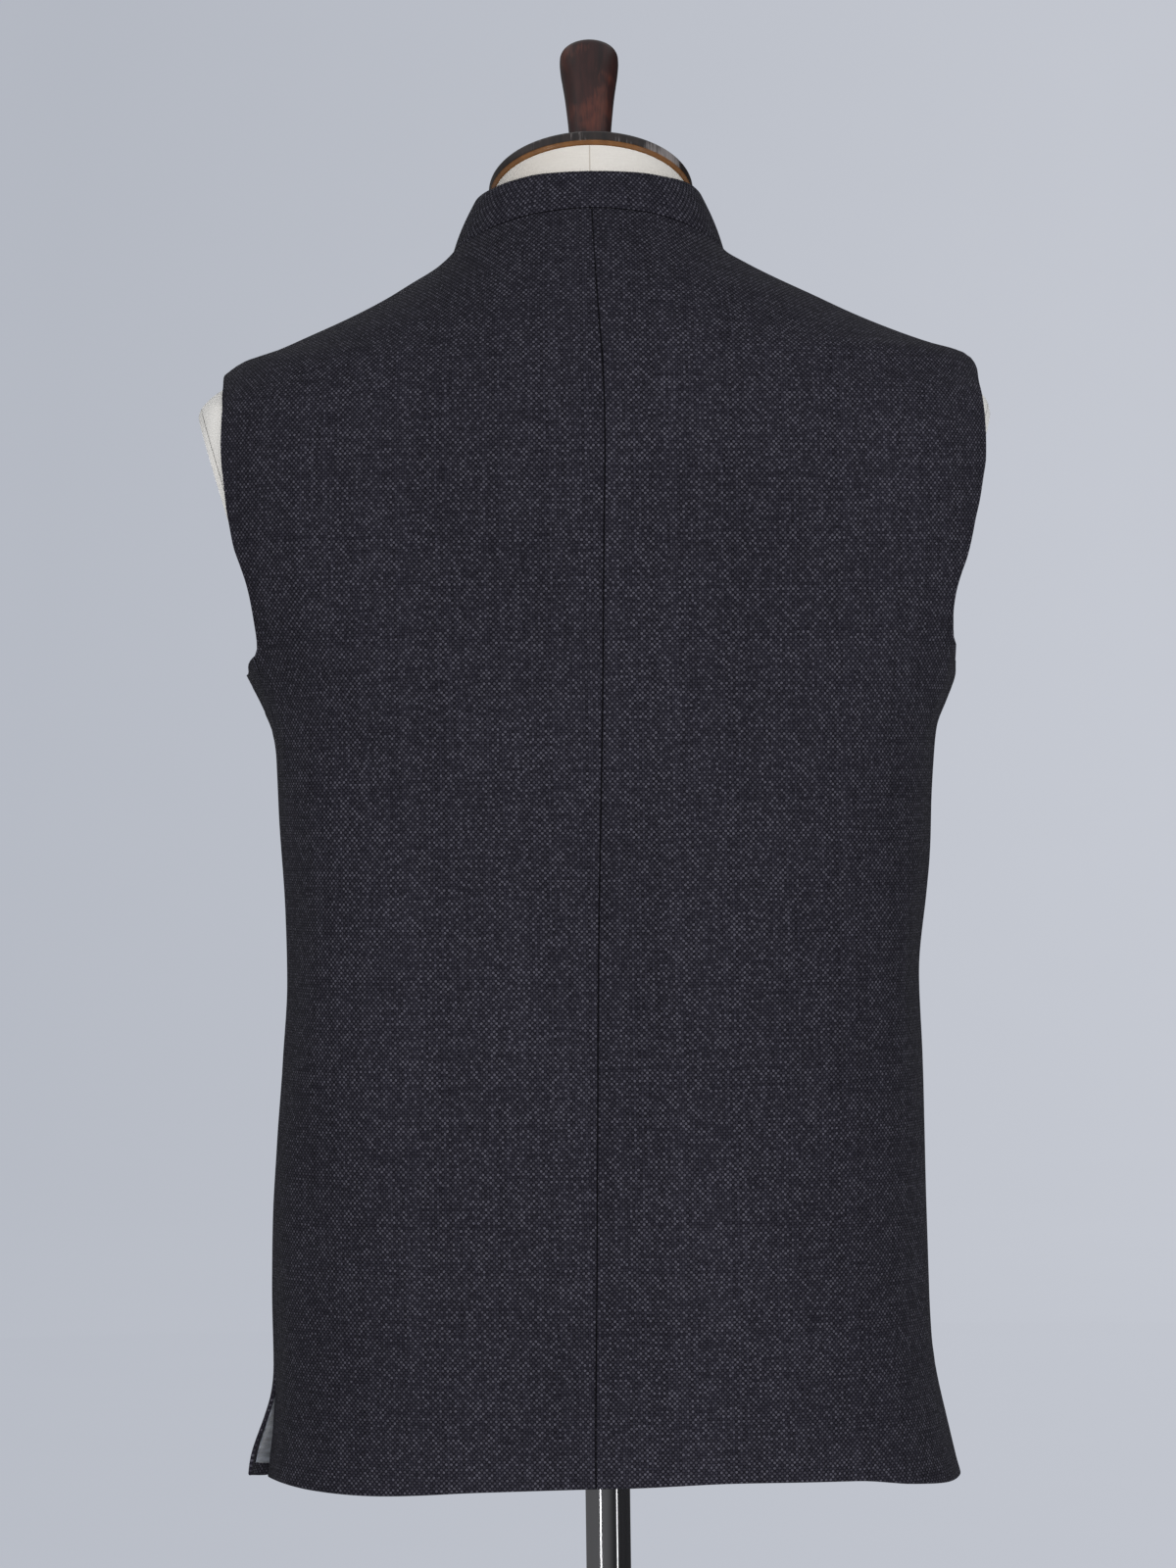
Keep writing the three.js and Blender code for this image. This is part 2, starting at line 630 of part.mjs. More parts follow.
function pole() {
  const bottom = baseThickness + seamGap;
  const top = hemHeight + formBottom + poleSocket - seamGap;
  return new THREE.CylinderGeometry(poleRadius, poleRadius, top - bottom, 40)
    .rotateX(Math.PI / 2).translate(0, 0, (top + bottom) / 2);
}

function turnedOnFloor(profile, segments) {
  const points = profile.map(([radius, height]) => new THREE.Vector2(radius, height));
  return new THREE.LatheGeometry(points, segments).rotateX(Math.PI / 2);
}

function basePlate() {
  return turnedOnFloor([
    [0, 0], [baseRadius - 1, 0], [baseRadius, 1], [baseRadius, baseThickness - 3],
    [baseRadius - 1, baseThickness - 1], [baseRadius - 3, baseThickness], [0, baseThickness],
  ], 56);
}

function hub() {
  const inner = poleRadius + seamGap;
  const low = baseThickness + seamGap;
  return turnedOnFloor([
    [inner, low], [hubRadius + hubFoot, low], [hubRadius + hubFoot, low + 4], [hubRadius, low + 7],
    [hubRadius, low + hubHeight - 3], [hubRadius - 2, low + hubHeight], [inner, low + hubHeight],
    [inner, low],
  ], 40);
}

const garment = new THREE.Group();
const stand = new THREE.Group();

function add(group, name, geometry, look) {
  const mesh = new THREE.Mesh(geometry, look);
  mesh.name = name;
  group.add(mesh);
}

for (const side of [1, -1]) {
  add(garment, `back_${sideName(side)}`, backPanel(side), materials.cloth);
  add(garment, `front_${sideName(side)}`, frontPanel(side), materials.cloth);
}
add(garment, 'collar', collarGeometry(), materials.cloth);
add(garment, 'vent_lining', ventLining(), materials.lining);
buttonHeights.forEach((up, i) => add(garment, `button_${i + 1}`, button(up), materials.button));

const { body, plates } = formPieces();
add(stand, 'form_body', geometryOf(body), materials.cover);
add(stand, 'arm_plate_left', geometryOf(plates[0]), materials.cover);
add(stand, 'arm_plate_right', geometryOf(plates[1]), materials.cover);
add(stand, 'neck_cap', neckCap(), materials.wood);
add(stand, 'neck_handle', neckHandle(), materials.wood);
add(stand, 'pole', pole(), materials.steel);
add(stand, 'pole_hub', hub(), materials.steel);
add(stand, 'base_plate', basePlate(), materials.steel);

const waistcoat = new THREE.Group();
waistcoat.add(garment, stand);

export default waistcoat;
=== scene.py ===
# A sleeveless waistcoat with a stand collar on a limbless dress form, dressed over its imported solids.
# Metres, +Z up. The fronts face -Y, the wearer's left is +X, and heights called up are above the hem.
import math

import bmesh
import bpy
import numpy as np
from mathutils import Matrix, Vector


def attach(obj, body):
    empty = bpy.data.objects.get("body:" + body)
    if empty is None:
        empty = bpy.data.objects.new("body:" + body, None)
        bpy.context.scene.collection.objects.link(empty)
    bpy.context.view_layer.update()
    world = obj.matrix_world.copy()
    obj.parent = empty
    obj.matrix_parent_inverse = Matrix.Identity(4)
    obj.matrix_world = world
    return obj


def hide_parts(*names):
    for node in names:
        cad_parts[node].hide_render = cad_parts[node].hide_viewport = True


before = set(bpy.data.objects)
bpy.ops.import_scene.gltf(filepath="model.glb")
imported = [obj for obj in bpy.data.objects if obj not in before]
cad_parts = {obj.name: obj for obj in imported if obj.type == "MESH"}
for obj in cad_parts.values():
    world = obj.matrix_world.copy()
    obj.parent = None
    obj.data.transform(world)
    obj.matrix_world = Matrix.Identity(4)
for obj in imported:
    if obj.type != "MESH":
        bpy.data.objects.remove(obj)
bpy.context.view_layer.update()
print("stage: frame loaded")

# The photo's view: from behind, at chest height, with the picture turned a little
cameraView = {
    "x": 0.006, "distance": 3.0, "height": 1.0247, "lens": 121.2, "sensor": 36.0, "roll": -0.75,
}


def addCamera():
    data = bpy.data.cameras.new("backView")
    data.lens = cameraView["lens"]
    data.sensor_width = cameraView["sensor"]
    camera = bpy.data.objects.new("backView", data)
    bpy.context.scene.collection.objects.link(camera)
    camera.location = (cameraView["x"], cameraView["distance"], cameraView["height"])
    facing = Matrix.Rotation(math.pi, 4, "Z") @ Matrix.Rotation(math.pi / 2, 4, "X")
    turned = facing @ Matrix.Rotation(math.radians(cameraView["roll"]), 4, "Z")
    camera.rotation_euler = turned.to_euler()
    bpy.context.scene.camera = camera


addCamera()
bpy.context.scene.view_settings.view_transform = "Standard"

# Sizes shared with the solids
hemHeight = 0.640
wall = 0.002
collarWall = 0.0026
liningWall = 0.001
seamGap = 0.0003
neckPoint = 0.686
overlap = 0.018
underLap = {"depth": 0.0027, "from": -0.090, "to": -0.050}
vent = {"top": 0.06, "flare": 0.011, "flatTurn": 94}
neckReach = {"back": 0.560, "front": 0.460}
hemReach = 0.080
seamTop = {"left": 0.4585, "right": 0.452}
shoulderTip = {"left": 0.6215, "right": 0.626}
underarmFrom = 0.8
armholeFrom = 0.482
neckTilt = math.radians(28)
neckTop = 0.7155
neckRadius = 0.056
neckPlace = Vector((0, 0, hemHeight + neckTop))
formBottom = 0.025
poleRadius = 0.0127
poleSocket = 0.080
armPlane = {
    "tilt": math.radians(17.2), "left": 0.2245, "right": 0.2265, "up": 0.597, "above": 0.060,
    "below": 0.158, "plate": 0.003,
}

# Horizontal sections of the coat: half widths left and right, depths of back, side line and front
coatRows = [
    (-0.012, 0.1935, 0.2, 0.112, -0.006, -0.132, 2.6),
    (0, 0.1925, 0.1975, 0.112, -0.006, -0.132, 2.6),
    (0.025, 0.1899, 0.1925, 0.1125, -0.006, -0.1325, 2.6),
    (0.048, 0.1886, 0.188, 0.113, -0.006, -0.133, 2.6),
    (0.07, 0.1883, 0.185, 0.113, -0.006, -0.133, 2.6),
    (0.095, 0.1884, 0.1837, 0.1125, -0.006, -0.133, 2.6),
    (0.14, 0.1878, 0.183, 0.111, -0.007, -0.132, 2.65),
    (0.185, 0.1852, 0.1824, 0.107, -0.007, -0.13, 2.7),
    (0.23, 0.1809, 0.1815, 0.102, -0.008, -0.1275, 2.75),
    (0.275, 0.1778, 0.1803, 0.0995, -0.008, -0.1265, 2.75),
    (0.32, 0.179, 0.184, 0.1, -0.008, -0.13, 2.7),
    (0.365, 0.1812, 0.1872, 0.103, -0.007, -0.136, 2.6),
    (0.4, 0.1825, 0.1906, 0.107, -0.006, -0.14, 2.55),
    (0.415, 0.185, 0.1928, 0.109, -0.006, -0.142, 2.5),
    (0.43, 0.1905, 0.1988, 0.1105, -0.005, -0.1435, 2.5),
    (0.442, 0.196, 0.2034, 0.112, -0.005, -0.1445, 2.5),
    (0.452, 0.201, 0.2055, 0.113, -0.004, -0.1455, 2.5),
    (0.465, 0.208, 0.212, 0.1145, -0.004, -0.1465, 2.45),
    (0.485, 0.218, 0.222, 0.1165, -0.003, -0.147, 2.4),
    (0.51, 0.227, 0.23, 0.1185, -0.003, -0.1455, 2.35),
    (0.54, 0.231, 0.2335, 0.1195, -0.002, -0.138, 2.3),
    (0.57, 0.232, 0.234, 0.1185, -0.001, -0.1245, 2.2),
    (0.59, 0.229, 0.2315, 0.116, -0.001, -0.112, 2.1),
    (0.603, 0.2235, 0.227, 0.113, 0, -0.102, 2.05),
    (0.613, 0.216, 0.221, 0.1105, 0, -0.0945, 1.95),
    (0.621, 0.2072, 0.2176, 0.108, 0, -0.088, 1.9),
    (0.627, 0.1972, 0.21, 0.106, 0.001, -0.0835, 1.85),
    (0.632, 0.1813, 0.193, 0.104, 0.001, -0.08, 1.85),
    (0.64, 0.162, 0.1706, 0.101, 0.002, -0.0745, 1.85),
    (0.65, 0.1388, 0.1466, 0.0965, 0.003, -0.068, 1.85),
    (0.66, 0.1184, 0.1256, 0.0915, 0.004, -0.0625, 1.85),
    (0.67, 0.1013, 0.1042, 0.086, 0.005, -0.058, 1.85),
    (0.678, 0.0878, 0.0884, 0.081, 0.006, -0.055, 1.9),
    (0.686, 0.0788, 0.0752, 0.076, 0.007, -0.052, 2),
    (0.692, 0.0744, 0.0714, 0.0715, 0.007, -0.05, 2),
    (0.698, 0.0712, 0.0694, 0.0675, 0.007, -0.048, 2),
    (0.706, 0.0683, 0.0674, 0.062, 0.007, -0.046, 2),
    (0.716, 0.066, 0.0654, 0.057, 0.007, -0.044, 2),
]

# Rings of the form: heights at back, side and front, half width, depths, power
formRings = [
    (formBottom, formBottom, formBottom, 0.171, 0.099, -0.006, -0.12, 2.5),
    (0.06, 0.06, 0.06, 0.173, 0.1015, -0.006, -0.121, 2.5),
    (0.11, 0.11, 0.11, 0.172, 0.1005, -0.006, -0.119, 2.5),
    (0.16, 0.16, 0.16, 0.168, 0.097, -0.007, -0.1145, 2.5),
    (0.21, 0.21, 0.21, 0.162, 0.0905, -0.008, -0.109, 2.5),
    (0.25, 0.25, 0.25, 0.157, 0.086, -0.008, -0.107, 2.5),
    (0.285, 0.285, 0.285, 0.156, 0.085, -0.008, -0.108, 2.5),
    (0.325, 0.325, 0.325, 0.159, 0.087, -0.008, -0.113, 2.5),
    (0.37, 0.37, 0.37, 0.165, 0.093, -0.007, -0.124, 2.5),
    (0.41, 0.41, 0.41, 0.172, 0.099, -0.006, -0.133, 2.5),
    (0.44, 0.44, 0.44, 0.1785, 0.104, -0.005, -0.1365, 2.45),
    (0.465, 0.465, 0.465, 0.191, 0.108, -0.004, -0.1395, 2.4),
    (0.49, 0.49, 0.49, 0.207, 0.112, -0.003, -0.14, 2.35),
    (0.515, 0.515, 0.515, 0.2195, 0.114, -0.002, -0.1375, 2.3),
    (0.545, 0.545, 0.545, 0.2255, 0.115, -0.002, -0.1285, 2.25),
    (0.575, 0.575, 0.575, 0.2265, 0.1132, -0.001, -0.1135, 2.15),
    (0.597, 0.597, 0.597, 0.2245, 0.1093, 0, -0.099, 2.05),
    (0.605, 0.605, 0.605, 0.219, 0.1075, 0, -0.0935, 1.98),
    (0.6125, 0.6125, 0.6125, 0.208, 0.1056, 0, -0.088, 1.92),
    (0.6215, 0.6215, 0.6215, 0.188, 0.103, 0, -0.081, 1.85),
    (0.632, 0.632, 0.632, 0.165, 0.0993, 0.001, -0.0735, 1.8),
    (0.643, 0.643, 0.643, 0.1456, 0.0948, 0.002, -0.0665, 1.8),
    (0.6538, 0.6538, 0.6538, 0.124, 0.0896, 0.003, -0.061, 1.8),
    (0.6645, 0.6645, 0.6645, 0.104, 0.0838, 0.004, -0.0575, 1.8),
    (0.684, 0.675, 0.662, 0.082, 0.0725, 0.005, -0.055, 1.85),
    (0.697, 0.684, 0.668, 0.07, 0.0638, 0.005, -0.053, 1.95),
    (0.708, 0.692, 0.674, 0.0625, 0.057, 0.004, -0.052, 2),
    (0.722, 0.701, 0.68, 0.058, 0.053, 0.002, -0.051, 2),
    (
        neckTop + neckRadius * math.sin(neckTilt), neckTop, neckTop - neckRadius * math.sin(neckTilt),
        neckRadius, neckRadius * math.cos(neckTilt), 0, -neckRadius * math.cos(neckTilt), 2,
    ),
]

# Where the centre-back seam runs, to the wearer's left of the middle
centreBackRows = [
    (0, 0.0066), (0.116, 0.0046), (0.224, 0.0027), (0.299, 0.0012), (0.368, -0.0008), (0.438, -0.0028),
    (0.513, -0.0043), (0.583, -0.0058), (0.621, -0.0046), (0.653, -0.0024), (0.706, 0.0002),
]

# Side seams, as turns in degrees about the coat from its centre back
sideSeamRows = [
    (-0.012, 80, 82), (0.1, 78, 80), (0.275, 76, 79), (0.372, 74.5, 78.5), (0.4, 73.5, 78),
    (0.414, 72.5, 77.5), (0.425, 71, 77), (0.44, 68.6, 76.6), (0.452, 66.2, 75.4), (0.466, 64, 74),
]

# Half widths at the armhole edges of the backs and of the fronts
armholeRows = [
    (0.452, 0.193, 0.2027, 0.201, 0.2065),
    (0.4585, 0.1921, 0.2012, 0.1985, 0.205),
    (0.466, 0.1916, 0.199, 0.193, 0.202),
    (0.476, 0.1922, 0.1989, 0.188, 0.198),
    (0.487, 0.1935, 0.2003, 0.185, 0.1945),
    (0.498, 0.1957, 0.2034, 0.1835, 0.1925),
    (0.508, 0.1988, 0.2072, 0.1835, 0.1925),
    (0.519, 0.2024, 0.2102, 0.1845, 0.1935),
    (0.53, 0.2042, 0.2126, 0.1865, 0.1955),
    (0.541, 0.2058, 0.2154, 0.189, 0.1985),
    (0.553, 0.2068, 0.2176, 0.1925, 0.202),
    (0.565, 0.208, 0.2196, 0.196, 0.206),
    (0.58, 0.2087, 0.2199, 0.2, 0.21),
    (0.595, 0.2088, 0.2193, 0.204, 0.213),
    (0.607, 0.2099, 0.2182, 0.207, 0.215),
    (0.616, 0.2099, 0.2176, 0.208, 0.2158),
    (0.627, 0.2065, 0.2134, 0.2065, 0.2134),
]

# The front's edge under the arm: turn, drop below the side seam's top, level at the centre front
underarmRows = [
    (78, 0.0078, 0.385), (84, 0.009, 0.405), (92, 0.0094, 0.425),
    (103, 0.0064, 0.442), (113, -0.002, 0.458), (121, -0.013, 0.472),
]

# Heights of the neckline and of the collar's top edge by turn, and how far the collar leans in
necklineRows = [
    (0, 0.7056, 0.7268, 0.7268, 0.007), (25, 0.7034, 0.7262, 0.7262, 0.0076),
    (45, 0.6988, 0.7236, 0.7244, 0.0088), (65, 0.6923, 0.7199, 0.7225, 0.0106),
    (80, 0.688, 0.7174, 0.7202, 0.0124), (90, neckPoint, 0.7144, 0.718, 0.0128),
    (112, 0.682, 0.7065, 0.7105, 0.0128), (135, 0.666, 0.691, 0.6925, 0.012),
    (157, 0.65, 0.6755, 0.6755, 0.0115), (180, 0.641, 0.667, 0.667, 0.011),
]

# How far the hem departs from level, by turn
hemLineRows = [
    (0, -0.0014, -0.0014), (20, -0.0029, 0.0002), (40, -0.0062, -0.0014), (52, -0.0052, -0.0058),
    (68, -0.0036, -0.009), (80, -0.0048, -0.0096), (90, -0.0064, -0.0096), (125, -0.005, -0.007),
    (180, -0.006, -0.006),
]

# The largest folds, each between two places (side, x and up twice, reach, push)
folds = [
    (1, 0.186, 0.462, 0.1, 0.35, 0.024, -0.003),
    (1, 0.168, 0.42, 0.128, 0.3, 0.02, 0.002),
    (-1, 0.178, 0.46, 0.12, 0.36, 0.024, -0.002),
    (-1, 0.178, 0.36, 0.13, 0.25, 0.022, 0.0016),
]

# Lesser creases, placed by turn in degrees and up, twice, then reach and push
creases = [
    (1, 63.5, 0.452, 67.4, 0.392, 0.0028, 0.0007),
    (-1, 66.0, 0.470, 69.0, 0.415, 0.0040, 0.0007),
    (1, 52.0, 0.560, 45.0, 0.430, 0.0120, -0.0006),
    (1, 40.0, 0.500, 30.0, 0.380, 0.0140, 0.0005),
    (-1, 54.0, 0.540, 47.0, 0.420, 0.0110, -0.0005),
    (-1, 38.0, 0.470, 26.0, 0.350, 0.0150, 0.0005),
    (1, 58.0, 0.200, 50.0, 0.060, 0.0120, -0.0005),
    (-1, 60.0, 0.230, 52.0, 0.080, 0.0130, -0.0006),
    (1, 130.0, 0.470, 150.0, 0.370, 0.0120, -0.0011),
    (-1, 128.0, 0.480, 148.0, 0.390, 0.0130, -0.0010),
    (1, 168.0, 0.352, 140.0, 0.372, 0.0100, 0.0007),
    (-1, 168.0, 0.352, 143.0, 0.376, 0.0090, 0.0006),
    (1, 168.0, 0.444, 146.0, 0.452, 0.0080, 0.0006),
    (1, 112.0, 0.300, 150.0, 0.262, 0.0110, -0.0009),
    (-1, 110.0, 0.310, 152.0, 0.268, 0.0120, -0.0009),
    (1, 120.0, 0.600, 140.0, 0.520, 0.0130, -0.0010),
    (-1, 121.0, 0.606, 142.0, 0.528, 0.0120, -0.0009),
]
degreeOfCloth = 0.0033
# Slow unevenness of cloth that hangs: waves round the coat and up it, with their starts
unevenness = {
    "rise": 0.00028, "waves": [(7.3, 31, 0.4), (13.1, -22, 1.9), (4.2, 47, 3.1), (18.7, 12, 5.2)],
}


def curveThrough(xs, ys):
    xs, ys = np.array(xs, float), np.array(ys, float)
    rise = np.diff(ys) / np.diff(xs)
    slopes = np.zeros(len(xs))
    for i in range(1, len(xs) - 1):
        if rise[i - 1] * rise[i] > 0:
            slopes[i] = 2 * rise[i - 1] * rise[i] / (rise[i - 1] + rise[i])

    def at(x):
        x = np.clip(np.asarray(x, float), xs[0], xs[-1])
        i = np.clip(np.searchsorted(xs, x, side="right") - 1, 0, len(xs) - 2)
        span = xs[i + 1] - xs[i]
        s = (x - xs[i]) / span
        bend = s * (1 - s) ** 2 * slopes[i] + s * s * (s - 1) * slopes[i + 1]
        return ys[i] + s * s * (3 - 2 * s) * (ys[i + 1] - ys[i]) + span * bend

    return at


def curvesOf(names, rows):
    columns = list(zip(*rows))
    return {name: curveThrough(columns[0], column) for name, column in zip(names, columns[1:])}


coatAt = curvesOf(("left", "right", "back", "mid", "front", "power"), coatRows)
centreBackAt = curvesOf(("x",), centreBackRows)["x"]
seamAt = curvesOf(("left", "right"), sideSeamRows)
armholeAt = curvesOf(("leftBack", "rightBack", "leftFront", "rightFront"), armholeRows)
necklineAt = curvesOf(("up", "leftTop", "rightTop", "lean"), necklineRows)
hemAt = curvesOf(("left", "right"), hemLineRows)


def sideName(side):
    return "left" if side > 0 else "right"


def blend(x, low, high):
    s = np.clip((np.asarray(x, float) - low) / (high - low), 0, 1)
    return s * s * (3 - 2 * s)


def section(turn, half, back, mid, front, power):
    s, c = np.sin(np.radians(turn)), np.cos(np.radians(turn))
    k = (np.abs(s) ** power + np.abs(c) ** power) ** (-1 / power)
    return half * k * s, mid + np.where(c > 0, back - mid, mid - front) * k * c


def turnAt(x, half, power):
    share = np.clip(x / half, 0, 1 - 1e-9) ** power
    return np.degrees(np.arctan((share / (1 - share)) ** (1 / power)))


def ridge(x, y, x1, y1, x2, y2, reach, push):
    length = math.hypot(x2 - x1, y2 - y1)
    along = ((x - x1) * (x2 - x1) + (y - y1) * (y2 - y1)) / length
    across = ((x - x1) * (y2 - y1) - (y - y1) * (x2 - x1)) / length
    ends = blend(along, -reach, reach) * (1 - blend(along, length - reach, length + reach))
    return push * ends * np.exp(-((across / reach) ** 2))


def pushAt(side, turn, x, up):
    push = np.zeros(np.shape(x))
    for ownSide, x1, up1, x2, up2, reach, amount in folds:
        if ownSide == side:
            push = push + np.where(turn < 90, ridge(x, up, x1, up1, x2, up2, reach, amount), 0)
    for ownSide, turn1, up1, turn2, up2, reach, amount in creases:
        if ownSide == side:
            place = (turn1 * degreeOfCloth, up1, turn2 * degreeOfCloth, up2)
            push = push + ridge(turn * degreeOfCloth, up, *place, reach, amount)
    calm = (1 - blend(up, 0.56, 0.62)) * (1 - blend(turn, 140, 165))
    for around, upward, start in unevenness["waves"]:
        wave = np.sin(around * np.radians(side * turn) + upward * up + start)
        push = push + calm * unevenness["rise"] * wave
    return push


def coatPoint(side, turn, up):
    turn, up = np.broadcast_arrays(np.asarray(turn, float), np.asarray(up, float))
    half = coatAt[sideName(side)](up)
    depths = [coatAt[key](up) for key in ("back", "mid", "front")]
    x, y = section(turn, half, *depths, coatAt["power"](up))
    push = pushAt(side, turn, x, up)
    around = np.radians(turn)
    x, y = x + push * np.sin(around), y + push * np.cos(around)
    return np.stack([side * x, y, hemHeight + up], axis=-1)


def coatNormal(side, turn, up):
    around = coatPoint(side, turn + 0.5, up) - coatPoint(side, turn - 0.5, up)
    upward = coatPoint(side, turn, up + 0.001) - coatPoint(side, turn, up - 0.001)
    out = side * np.cross(upward, around)
    return out / np.linalg.norm(out, axis=-1, keepdims=True)


# How far a front lies out at its vent, or in where the other front laps over it
def frontShift(side, turn, up):
    if side > 0:
        opened = (1 - blend(up, 0, vent["top"])) ** 1.2
        return vent["flare"] * opened * (1 - blend(turn, sideSeamRows[0][1], vent["flatTurn"]))
    past = coatPoint(side, turn, up)[..., 0]
    lapped = underLap["depth"] * blend(past, underLap["from"], underLap["to"])
    return np.where(np.asarray(turn) > vent["flatTurn"], -lapped, 0)


def backPlace(side, turn, up, depth):
    return coatPoint(side, turn, up) - coatNormal(side, turn, up) * np.asarray(depth)[..., None]


def frontPlace(side, turn, up, depth):
    return backPlace(side, turn, up, depth - frontShift(side, turn, up))


def heightOf(side, turn, level):
    neckFrom = np.where(turn < 90, neckReach["back"], neckReach["front"])
    atNeck = (necklineAt["up"](turn) - neckPoint) * blend(level, neckFrom, neckPoint)
    return level + atNeck + hemAt[sideName(side)](turn) * (1 - blend(level, 0, hemReach))


# Distances from an edge at which the cloth gets a row or a column
edgeSteps = np.array([0, 0.1, 0.25, 0.45, 0.7, 1.0, 1.5, 2.1, 2.5, 2.8, 3.1, 3.6, 4.6, 6.5]) * 0.001
clothMesh = {"columns": 44, "low": 12, "side": 64, "waist": 12, "armhole": 36, "tip": 8, "shoulder": 24}
# How an edge is turned: widths of the roll at a seam and at a fold, the stitched groove by an armhole
edgeTurning = {
    "seam": 0.0007, "fold": 0.0012, "grooveAt": 0.0028, "grooveWidth": 0.0005, "groove": 0.0003,
    "swellAt": 0.0045, "swellWidth": 0.003, "swell": 0.00022, "liningFrom": 0.030,
}


def steps(low, high, count):
    return [low + (high - low) * (i + 1) / count for i in range(count)]


def sideLevels(top):
    low = list(edgeSteps) + steps(edgeSteps[-1], 0.060, clothMesh["low"])
    return low + steps(0.060, 0.400, clothMesh["side"]) + steps(0.400, top, clothMesh["waist"])


def shoulderLevels(tip):
    last = neckPoint - 0.7 * edgeSteps[-1]
    return steps(tip, last, clothMesh["shoulder"]) + [neckPoint - 0.7 * s for s in edgeSteps[-2::-1]]


def armholeLevels(low, tip):
    return steps(low, 0.600, clothMesh["armhole"]) + steps(0.600, tip, clothMesh["tip"])


def halfGapTurn(side, up):
    return np.degrees(seamGap / 2 / coatAt[sideName(side)](up))


def ridgeGap(up):
    return np.degrees(seamGap / 2 / (coatAt["back"](up) - coatAt["mid"](up)))


# Rows of a panel from hem to neckline: its edge's level and turn, its centre's level, and if it is folded
def backRows(side):
    name = sideName(side)
    rows = []
    for up in sideLevels(seamTop[name]):
        rows.append((up, seamAt[name](up) - 1.5 * halfGapTurn(side, up), up, up < vent["top"]))
    for up in armholeLevels(seamTop[name], shoulderTip[name]):
        edge = turnAt(armholeAt[name + "Back"](up), coatAt[name](up), coatAt["power"](up))
        rows.append((up, min(edge, 90 - ridgeGap(up)), up, True))
    for up in shoulderLevels(shoulderTip[name]):
        rows.append((up, 90 - ridgeGap(up), up, False))
    return np.array(rows, float).T


def frontRows(side):
    name = sideName(side)
    top = seamTop[name]
    rows = []
    for up in sideLevels(top):
        edge = seamAt[name](up) + 1.5 * halfGapTurn(side, up)
        rows.append((up, edge, up * underarmFrom, up < vent["top"]))

    def edgeTurn(up):
        edge = 180 - turnAt(armholeAt[name + "Front"](up), coatAt[name](up), coatAt["power"](up))
        return max(edge, 90 + ridgeGap(up))

    first = min(up for up in steps(top, 0.600, 8) if up > armholeFrom)
    knots = [(0, rows[-1][1], 0, rows[-1][2])]
    knots += [(i + 1, *row) for i, row in enumerate(underarmRows)]
    knots += [(len(underarmRows) + 1, edgeTurn(first), top - first, first)]
    under = curvesOf(("turn", "drop", "centre"), knots)
    for at in steps(0, len(underarmRows) + 1, 6 * (len(underarmRows) + 1)):
        rows.append((top - under["drop"](at), under["turn"](at), under["centre"](at), True))
    for up in armholeLevels(first, shoulderTip[name]):
        rows.append((up, edgeTurn(up), up, True))
    for up in shoulderLevels(shoulderTip[name]):
        rows.append((up, 90 + ridgeGap(up), up, False))
    return np.array(rows, float).T


# Lengths along the cloth, so that the weave keeps its size: round the coat, and up it at one x
lengthSteps = {
    "turns": np.arange(-6, 196, 1.5), "ups": np.arange(0, 0.7201, 0.004), "from": 0.540, "xs": 120,
}


def lengthTables(side):
    turns, ups = lengthSteps["turns"], lengthSteps["ups"]
    points = coatPoint(side, turns[None, :], ups[:, None])
    pieces = np.linalg.norm(np.diff(points[..., :2], axis=1), axis=-1)
    around = np.concatenate([np.zeros((len(ups), 1)), np.cumsum(pieces, axis=1)], axis=1)
    high = np.arange(lengthSteps["from"], 0.7201, 0.001)
    half, power = coatAt[sideName(side)](high)[:, None], coatAt["power"](high)[:, None]
    xs = np.linspace(0, 0.236, lengthSteps["xs"])
    upward = []
    for isFront in (False, True):
        turn = turnAt(xs[None, :], half, power)
        turn = 180 - turn if isFront else turn
        depths = [coatAt[key](high)[:, None] for key in ("back", "mid", "front")]
        y = section(turn, half, *depths, power)[1]
        rise = np.hypot(np.diff(y, axis=0), 0.001)
        summed = np.concatenate([np.zeros((1, len(xs))), np.cumsum(rise, axis=0)])
        upward.append(summed + lengthSteps["from"])
    return around, xs, high, upward


def lookUp(table, rowAt, columnAt):
    r = np.clip(rowAt, 0, table.shape[0] - 1.001)
    c = np.clip(columnAt, 0, table.shape[1] - 1.001)
    i, j = r.astype(int), c.astype(int)
    a, b = r - i, c - j
    low = table[i, j] * (1 - b) + table[i, j + 1] * b
    return low * (1 - a) + (table[i + 1, j] * (1 - b) + table[i + 1, j + 1] * b) * a


lengths = {side: lengthTables(side) for side in (1, -1)}


def clothUv(side, turn, up, points, isFront):
    around, xs, high, upward = lengths[side]
    turns, ups = lengthSteps["turns"], lengthSteps["ups"]
    rowAt = up / (ups[1] - ups[0])
    start = 180.0 if isFront else 0.0
    low, own = (
        lookUp(around, rowAt, (at - turns[0]) / (turns[1] - turns[0])) for at in (start + 0 * turn, turn))
    u = low - own if isFront else own - low
    over = (up - lengthSteps["from"]) / 0.001
    v = lookUp(upward[int(isFront)], over, np.abs(points[..., 0]) / (xs[1] - xs[0]))
    v = np.where(up < lengthSteps["from"], up, v)
    return np.stack([side * u, v], axis=-1)


